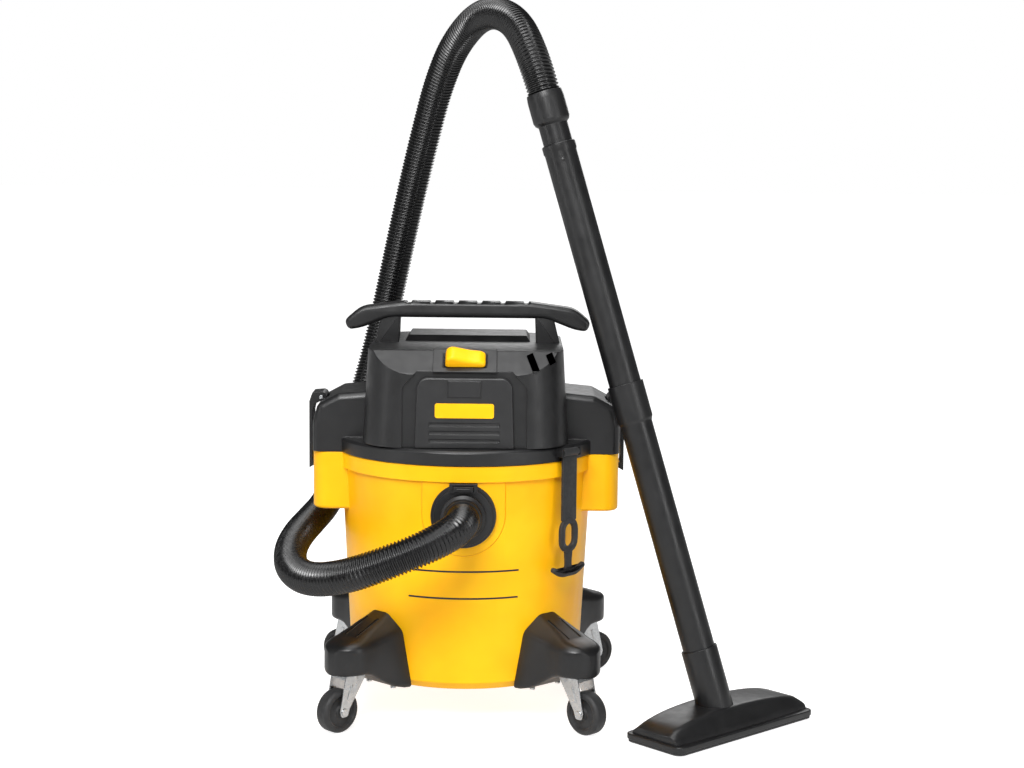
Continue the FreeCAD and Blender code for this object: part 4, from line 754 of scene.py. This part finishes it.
# %% Floor nozzle
NOZZLE_TURN = Matrix.Translation((0.322, -0.137, 0)) @ Matrix.Rotation(math.radians(43), 4, "Z")
NOZZLE_HALF_LENGTH = 0.127
NOZZLE_HALF_WIDTH = 0.046
LIP_BOTTOM = 0.004
LIP_TOP = 0.0115
CROWN_INSET = 0.005
CROWN_STEPS = 12
crown_sections = []
for step in range(-CROWN_STEPS, CROWN_STEPS + 1):
    along = step / CROWN_STEPS
    rise = (1 - along ** 2) ** 0.55
    half_width = (NOZZLE_HALF_WIDTH - CROWN_INSET) * (1 - 0.10 * along ** 4)
    top = LIP_TOP + 0.009 + 0.017 * rise
    crown_sections.append((along * (NOZZLE_HALF_LENGTH - CROWN_INSET), foot_section(
        half_width, half_width - 0.002, LIP_TOP - 0.003, LIP_TOP + 0.005, top, half_width * 0.70,
    )))
nozzle = lofted("floor_nozzle_piece", crown_sections)
apply_modifier(
    nozzle, "BEVEL", width=0.003, segments=3, limit_method="ANGLE", angle_limit=math.radians(70),
)
shade(nozzle, 60)
lip = slab("nozzle_lip", [
    (-NOZZLE_HALF_LENGTH, -NOZZLE_HALF_WIDTH), (NOZZLE_HALF_LENGTH, -NOZZLE_HALF_WIDTH),
    (NOZZLE_HALF_LENGTH, NOZZLE_HALF_WIDTH), (-NOZZLE_HALF_LENGTH, NOZZLE_HALF_WIDTH),
], 0.012, LIP_TOP - LIP_BOTTOM, 0.0014)
lip_middle = Matrix.Translation((0, 0, (LIP_TOP + LIP_BOTTOM) / 2))
lip.matrix_world = lip_middle @ Matrix.Rotation(math.radians(90), 4, "X")
settle(lip)
cut_away(nozzle, bar("clip_slot", (0.0055, 0.020, 0.006), (-0.1085, 0.004, 0.0235), None, 0.0008))
join(nozzle, lip)
nozzle.matrix_world = NOZZLE_TURN
settle(nozzle)
NECK_RADIUS = 0.0225
NECK_TOP = 0.076
SOCKET_RADIUS = 0.02005
THROAT_RADIUS = 0.0182
neck = turned("nozzle_neck", [
    (0, -0.008), (NECK_RADIUS, -0.008), (NECK_RADIUS, NECK_TOP), (SOCKET_RADIUS, NECK_TOP),
    (SOCKET_RADIUS, 0.036), (THROAT_RADIUS, 0.035), (THROAT_RADIUS, 0.004), (0, 0.004),
], 0.0008)
neck.matrix_world = Matrix.Translation(WAND_FOOT) @ wand_axis.to_track_quat("Z", "Y").to_matrix().to_4x4()
settle(neck)
join(nozzle, neck)
dress(nozzle, foot_black, "floor_nozzle")
print("nozzle faces", len(nozzle.data.polygons))

# %% [markdown]
# ## Storage strap
# A rubber strap hangs from its pin on the lid: a flat band, an oval ring to hook over the wand, a
# tapering neck and a curved toggle for the fingers. The flat outlines are extruded through the rubber's
# thickness, the ring's hole is cut out, and the toggle is a tapered bar whose ends are raised.

# %% Storage strap
swing = joints["strap_swing"]
strap_across = -Vector(swing["axis"]).normalized()
strap_out = Vector((swing["pos_m"][0], swing["pos_m"][1], 0)).normalized()
strap_turn = Matrix((strap_across, strap_out, Vector((0, 0, 1))))
strap_frame = Matrix.Translation(Vector(swing["pos_m"])) @ strap_turn.transposed().to_4x4()
STRAP_THICKNESS = 0.0036
RING_MIDDLE = -0.104


def oval(half_width, half_height, middle, steps=10):
    """The outline of an oval ring: two half circles joined by straight sides."""
    straight = half_height - half_width
    corners = []
    for sign, start in ((1, 0), (-1, 180)):
        for step in range(steps + 1):
            angle = math.radians(start + 180 * step / steps)
            corners.append((half_width * math.cos(angle), middle + sign * straight + half_width * math.sin(angle)))
    return corners


strap = slab("storage_strap_piece", [
    (-0.013, 0.000), (-0.013, -0.086), (0.013, -0.086), (0.013, 0.000),
], 0.002, STRAP_THICKNESS, 0.0008)
strap_ring = slab("strap_ring", oval(0.0165, 0.0225, RING_MIDDLE), 0.0004, STRAP_THICKNESS + 0.0012, 0.0012)
cut_away(strap_ring, slab("strap_hole", oval(0.0085, 0.0145, RING_MIDDLE), 0.0004, 0.02, 0.0002))
strap_neck = slab("strap_neck", [
    (-0.0075, -0.120), (-0.0050, -0.140), (-0.0080, -0.152), (0.0080, -0.152), (0.0050, -0.140), (0.0075, -0.120),
], 0.006, STRAP_THICKNESS, 0.0008)
toggle = slab("strap_toggle", [
    (-0.028, -0.1410), (-0.013, -0.1485), (0.013, -0.1485), (0.028, -0.1410), (0.0310, -0.1465), (0.015, -0.1560),
    (-0.015, -0.1560), (-0.0310, -0.1465),
], 0.007, 0.0078, 0.0028)
eye = turned("strap_eye", [(0.00255, -0.014), (0.005, -0.014), (0.005, 0.014), (0.00255, 0.014)], 0.0006, 32)
eye.matrix_world = Matrix.Rotation(math.radians(90), 4, "Y")
settle(eye)
join(strap, strap_ring, strap_neck, toggle, eye)
strap.matrix_world = strap_frame
settle(strap)
close_mesh(strap)
dress(strap, rubber, "storage_strap")
print("strap faces", len(strap.data.polygons))

# %% [markdown]
# ## Pleated filter
# The cartridge filter is a long strip of paper folded into sharp pleats and glued between two end caps.
# Every second upright edge of a many-sided tube is pulled inwards, which folds the wall into pleats, and
# two turned rings close the ends. It comes into sight when the head is lifted off.

# %% Pleated filter
FILTER_MARGIN = 0.0015
filter_low, filter_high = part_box("filter_cartridge")
filter_radius = (filter_high.x - filter_low.x) / 2 - FILTER_MARGIN
filter_height = filter_high.z - filter_low.z
PLEATS = 96
PLEAT_DEPTH = 0.012
CAP_HEIGHT = 0.007
CAP_BORE = 0.046
CAP_RADIUS = filter_radius + 0.001
bpy.ops.object.select_all(action="DESELECT")
bpy.ops.mesh.primitive_cylinder_add(
    vertices=2 * PLEATS, radius=filter_radius, depth=filter_height - CAP_HEIGHT,
    location=(0, 0, (filter_low.z + filter_high.z) / 2), end_fill_type="NOTHING",
)
pleated = bpy.context.object
pleated.name = "filter_cartridge_piece"
settle(pleated)
for vertex in pleated.data.vertices:
    step = math.atan2(vertex.co.y, vertex.co.x) / math.tau * 2 * PLEATS
    vertex.select = round(step) % 2 == 1
bpy.context.tool_settings.mesh_select_mode = (True, False, False)
bpy.ops.object.mode_set(mode="EDIT")
inwards = (filter_radius - PLEAT_DEPTH) / filter_radius
bpy.ops.transform.resize(value=(inwards, inwards, 1), center_override=(0, 0, 0))
bpy.ops.object.mode_set(mode="OBJECT")
close_mesh(pleated)
dress(pleated, paper, "filter_cartridge")
for name, low in (("lower", filter_low.z), ("upper", filter_high.z - CAP_HEIGHT)):
    cap = turned(f"filter_cap_{name}", [
        (CAP_BORE, low), (CAP_RADIUS, low), (CAP_RADIUS, low + CAP_HEIGHT), (CAP_BORE, low + CAP_HEIGHT),
    ], 0.0015)
    dress(cap, rubber, "filter_cartridge", stands_in=False)
print(PLEATS, "pleats")

# %% [markdown]
# ## Painted groove shade and small moulded details
# Two thin dark bands across the drum's front are painted shade: they stand for the shadow inside two
# grooves that are not modelled. Each is a thin band spun through part of a turn, so that it follows the
# drum's taper. The wand has a round button near its top end, and the latch tab of the inlet has a raised
# thumb bar.


# %% Painted groove shade and small moulded details
DRUM_BASE_RADIUS = 0.148
DRUM_BASE_HEIGHT = 0.058
DRUM_RIM_RADIUS = 0.161
DRUM_RIM_HEIGHT = 0.312
# The two dark bands below are painted shade: they stand for the shadow inside two grooves on the drum's front.
GROOVE_SHADE_ANGLE = math.radians(52)
GROOVE_SHADE_WIDTH = 0.0022
GROOVE_SHADE_PROUD = 0.00015
GROOVE_SHADE_DEEP = 0.0004
GROOVE_SHADE_HEIGHTS = {"upper": 0.200, "lower": 0.166}
BUTTON_ALONG = 0.700
BUTTON_OUT = 0.0196


def drum_radius(height):
    """The drum's outer radius at a height."""
    widening = DRUM_RIM_RADIUS - DRUM_BASE_RADIUS
    return DRUM_BASE_RADIUS + (height - DRUM_BASE_HEIGHT) * widening / (DRUM_RIM_HEIGHT - DRUM_BASE_HEIGHT)


def front_band(name, height, width, angle):
    """A thin band on the drum's front, spun through part of a turn."""
    low = height - width / 2
    high = height + width / 2
    piece = chain(name, [
        (drum_radius(low) - GROOVE_SHADE_DEEP, low), (drum_radius(low) + GROOVE_SHADE_PROUD, low),
        (drum_radius(high) + GROOVE_SHADE_PROUD, high), (drum_radius(high) - GROOVE_SHADE_DEEP, high),
    ])
    only(piece)
    bpy.ops.object.mode_set(mode="EDIT")
    bpy.ops.mesh.select_all(action="SELECT")
    bpy.ops.mesh.edge_face_add()
    bpy.ops.mesh.spin(steps=40, angle=angle, center=(0, 0, 0), axis=(0, 0, 1))
    bpy.ops.object.mode_set(mode="OBJECT")
    close_mesh(piece)
    piece.rotation_euler.z = math.radians(-90) + angle / 2
    settle(piece)
    shade(piece)
    return piece


# Each dark band is painted groove shade, dressed black where a groove's shadow falls.
for name, height in GROOVE_SHADE_HEIGHTS.items():
    groove_shade = front_band(f"stripe_{name}", height, GROOVE_SHADE_WIDTH, GROOVE_SHADE_ANGLE)
    dress(groove_shade, black, "tank", stands_in=False)

button = turned("wand_button", [(0, 0), (0.0024, 0), (0.0024, 0.0008), (0, 0.0012)], 0.0003, 32)
button_place = WAND_FOOT + wand_axis * BUTTON_ALONG
facing = Vector((0, -1, 0)) - wand_axis * wand_axis.dot(Vector((0, -1, 0)))
facing.normalize()
button.matrix_world = (
    Matrix.Translation(button_place + facing * BUTTON_OUT) @ facing.to_track_quat("Z", "Y").to_matrix().to_4x4()
)
settle(button)
dress(button, black, "wand_upper", stands_in=False)

lock_low, lock_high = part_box("hose_lock_button")
thumb_bar = bar("thumb_bar", (0.017, 0.0016, 0.0022), (0, lock_low.y - 0.0004, (lock_low.z + lock_high.z) / 2))
dress(thumb_bar, panel_black, "hose_lock_button", stands_in=False)
print("stripes, button and thumb bar made")

# %% [markdown]
# The hose is soft. Its far end is a fitting, the cuff that plugs into the wand.

print("hose made")

# %% [markdown]
# ## Floor and light
# The pale floor runs out to a white background. One broad light comes from the upper left, a tall strip
# on the left makes the long highlights on hose and wand, and a fill stands on the right. Wide lights
# above and behind and a soft sun lift the rest. Broad lights make the soft-edged reflections by which
# satin plastic is known.


# %% Floor and light
def area_light(name, place, target, power, size_x, size_y):
    """A rectangular light that looks at a target."""
    light = bpy.data.lights.new(name, "AREA")
    light.shape = "RECTANGLE"
    light.size = size_x
    light.size_y = size_y
    light.energy = power
    holder = bpy.data.objects.new(name, light)
    holder.location = place
    holder.rotation_euler = (Vector(target) - Vector(place)).to_track_quat("-Z", "Y").to_euler()
    bpy.context.scene.collection.objects.link(holder)


FLOOR_GLOW = 0.30  # what the floor gives back to the machine
FLOOR_SEEN_GLOW = 0.86  # how bright the floor itself looks
WORLD_GLOW = 0.13  # what the surroundings give to the machine
WORLD_SEEN_GLOW = 1.0  # how bright the background itself looks
bpy.ops.object.select_all(action="DESELECT")
bpy.ops.mesh.primitive_plane_add(size=60, location=(0, 0, -0.0005))
floor = bpy.context.object
floor.name = "floor"
floor_finish, tree, shader = new_finish("pale floor", Roughness=0.8)
shader.inputs["Emission Color"].default_value = linear("#FFFFFF")
colour_from(tree, shader, spots(tree, 400), "#B8B8B8", "#BEBEBE")
seen = add(tree, "ShaderNodeLightPath").outputs["Is Camera Ray"]
glow = add(tree, "ShaderNodeMapRange", values={"To Min": FLOOR_GLOW, "To Max": FLOOR_SEEN_GLOW}, links={"Value": seen})
tree.links.new(glow.outputs["Result"], shader.inputs["Emission Strength"])
floor.data.materials.append(floor_finish)

MIDDLE = (0.05, 0, 0.4)
area_light("key", (-0.5, -2.6, 2.1), MIDDLE, 60, 1.3, 0.8)
area_light("strip", (-2.0, -1.0, 1.0), MIDDLE, 7, 0.16, 1.8)
area_light("fill", (2.0, -2.0, 1.0), MIDDLE, 16, 0.4, 1.6)
area_light("top", (0.1, -0.3, 2.6), MIDDLE, 24, 1.4, 1.4)
area_light("back", (0.6, 2.6, 1.6), MIDDLE, 16, 1.6, 1.2)
sun = bpy.data.objects.new("sky_sun", bpy.data.lights.new("sky_sun", "SUN"))
sun.data.energy = 1.8
sun.data.angle = math.radians(40)
sun.rotation_euler = (math.radians(38), math.radians(-8), 0)
bpy.context.scene.collection.objects.link(sun)

world = bpy.data.worlds.new("studio")
world.use_nodes = True
bpy.context.scene.world = world
sky = world.node_tree.nodes["Background"]
sky.inputs["Color"].default_value = (1, 1, 1, 1)
rays = add(world.node_tree, "ShaderNodeLightPath").outputs["Is Camera Ray"]
strength = add(
    world.node_tree, "ShaderNodeMapRange",
    values={"To Min": WORLD_GLOW, "To Max": WORLD_SEEN_GLOW}, links={"Value": rays},
)
world.node_tree.links.new(strength.outputs["Result"], sky.inputs["Strength"])
bpy.context.scene.view_settings.view_transform = "Standard"
